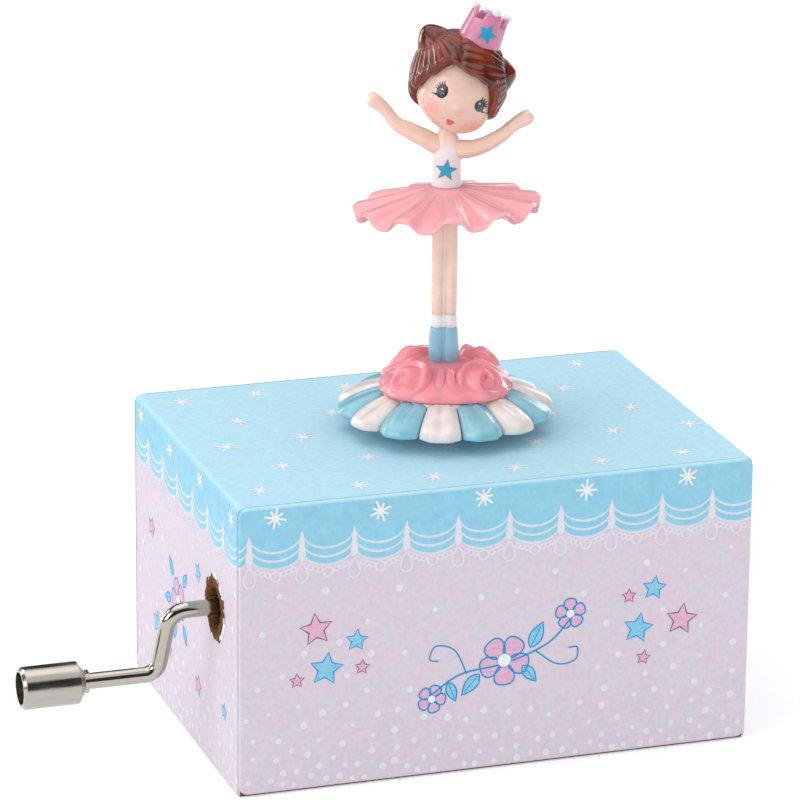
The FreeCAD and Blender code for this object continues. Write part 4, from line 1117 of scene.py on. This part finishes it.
def floor_and_walls():
    """A white floor that keeps the shadow, and a dark wall all round that only shows as a reflection."""
    paint = Paint("floor", Roughness=0.6, Specular_IOR_Level=0.2)
    paint.put(paint.shader.inputs["Emission Color"], (1, 1, 1, 1))
    paint.put(paint.shader.inputs["Emission Strength"], paint.math("MULTIPLY", seen_rays(paint.tree), 0.24))
    white = paint.finish(paint.shade(linear((0.93, 0.94, 0.95)), 0.01, paint.noise(0.01)))
    made_stage("floor", [(-6, -6, 0), (6, -6, 0), (6, 6, 0), (-6, 6, 0)], [(0, 1, 2, 3)], white)
    paint = Paint("wall", Roughness=0.9)
    dark = paint.finish(paint.shade(linear((0.2, 0.2, 0.21)), 0.1, paint.noise(0.002)))
    ring = circle(48, 1.6)
    points = [(x, y, 0.1) for x, y in ring] + [(x, y, 1.7) for x, y in ring]
    wall = made_stage("wall", points, ring_faces(2, 48), dark)
    for rays in ("camera", "diffuse", "transmission", "shadow"):
        setattr(wall, f"visible_{rays}", False)


def studio_world():
    """A white world that is plain white where it is seen."""
    world = bpy.data.worlds.new("studio")
    bpy.context.scene.world = world
    world.use_nodes = True
    tree = world.node_tree
    level = tree.nodes.new("ShaderNodeMapRange")
    tree.links.new(seen_rays(tree), level.inputs["Value"])
    level.inputs["To Min"].default_value = 0.8
    level.inputs["To Max"].default_value = 1.0
    tree.links.new(level.outputs[0], tree.nodes["Background"].inputs["Strength"])
    tree.nodes["Background"].inputs["Color"].default_value = (1, 1, 1, 1)


# Name, place, width, height, power, whether it lights matt surfaces, whether it is mirrored
LAMPS = (
    ("key", (-1.25, -0.32, 0.62), 0.8, 0.8, 6, True, True),
    ("fill", (0.6, -1.1, 0.4), 0.9, 0.9, 1.5, True, False),
    ("top", (-0.2, 0.25, 1.3), 1.3, 1.3, 4.4, True, True),
    ("left_rim", (-0.9, 0.9, 0.4), 0.35, 0.9, 7, False, True),
    ("right_rim", (0.9, 0.9, 0.4), 0.35, 0.9, 4, False, True),
)


def lamps():
    """Large soft lamps, all turned to the box; the fill is not mirrored, and the rims give glints alone."""
    for name, place, wide, tall, power, lights, mirrored in LAMPS:
        light = bpy.data.lights.new(name, "AREA")
        light.shape = "RECTANGLE"
        light.size = wide
        light.size_y = tall
        light.energy = power
        lamp = bpy.data.objects.new(name, light)
        lamp.location = place
        lamp.rotation_euler = (Vector((0, 0, 0.05)) - Vector(place)).to_track_quat("-Z", "Y").to_euler()
        lamp.visible_diffuse = lights
        lamp.visible_glossy = mirrored
        bpy.context.scene.collection.objects.link(lamp)


def camera():
    """The photograph's view: from the front, to the left of it and above."""
    azimuth, elevation, roll = radians(-18.63), radians(18.09), radians(0.55)
    distance = 0.7578
    aim = Vector((-0.00314, 0.00949, 0.04746))
    lens = bpy.data.cameras.new("camera")
    lens.sensor_width = 36
    lens.lens = 217.2
    lens.clip_start = 0.01
    view = bpy.data.objects.new("camera", lens)
    turn = Matrix.Rotation(azimuth, 4, "Z") @ Matrix.Rotation(pi / 2 - elevation, 4, "X")
    view.matrix_world = (Matrix.Translation(aim) @ turn @ Matrix.Rotation(roll, 4, "Z")
                         @ Matrix.Translation((0, 0, distance)))
    bpy.context.scene.collection.objects.link(view)
    bpy.context.scene.camera = view
    bpy.context.scene.view_settings.view_transform = "Standard"


floor_and_walls()
studio_world()
lamps()
camera()
print_long_side("front", FRONT_STARS, FIRST_POST, first_sparkle=5.6, twist=0.2, middle=42, flip=1, seed=3)
print_long_side("back", BACK_STARS, BACK_POST, first_sparkle=5.2, twist=0.5, middle=40, flip=-1, seed=8)
print_sides()
print_top()
torn_hole()
petals()
mound()
legs()
skirt()
upper_body()
head()
hair()
crown()
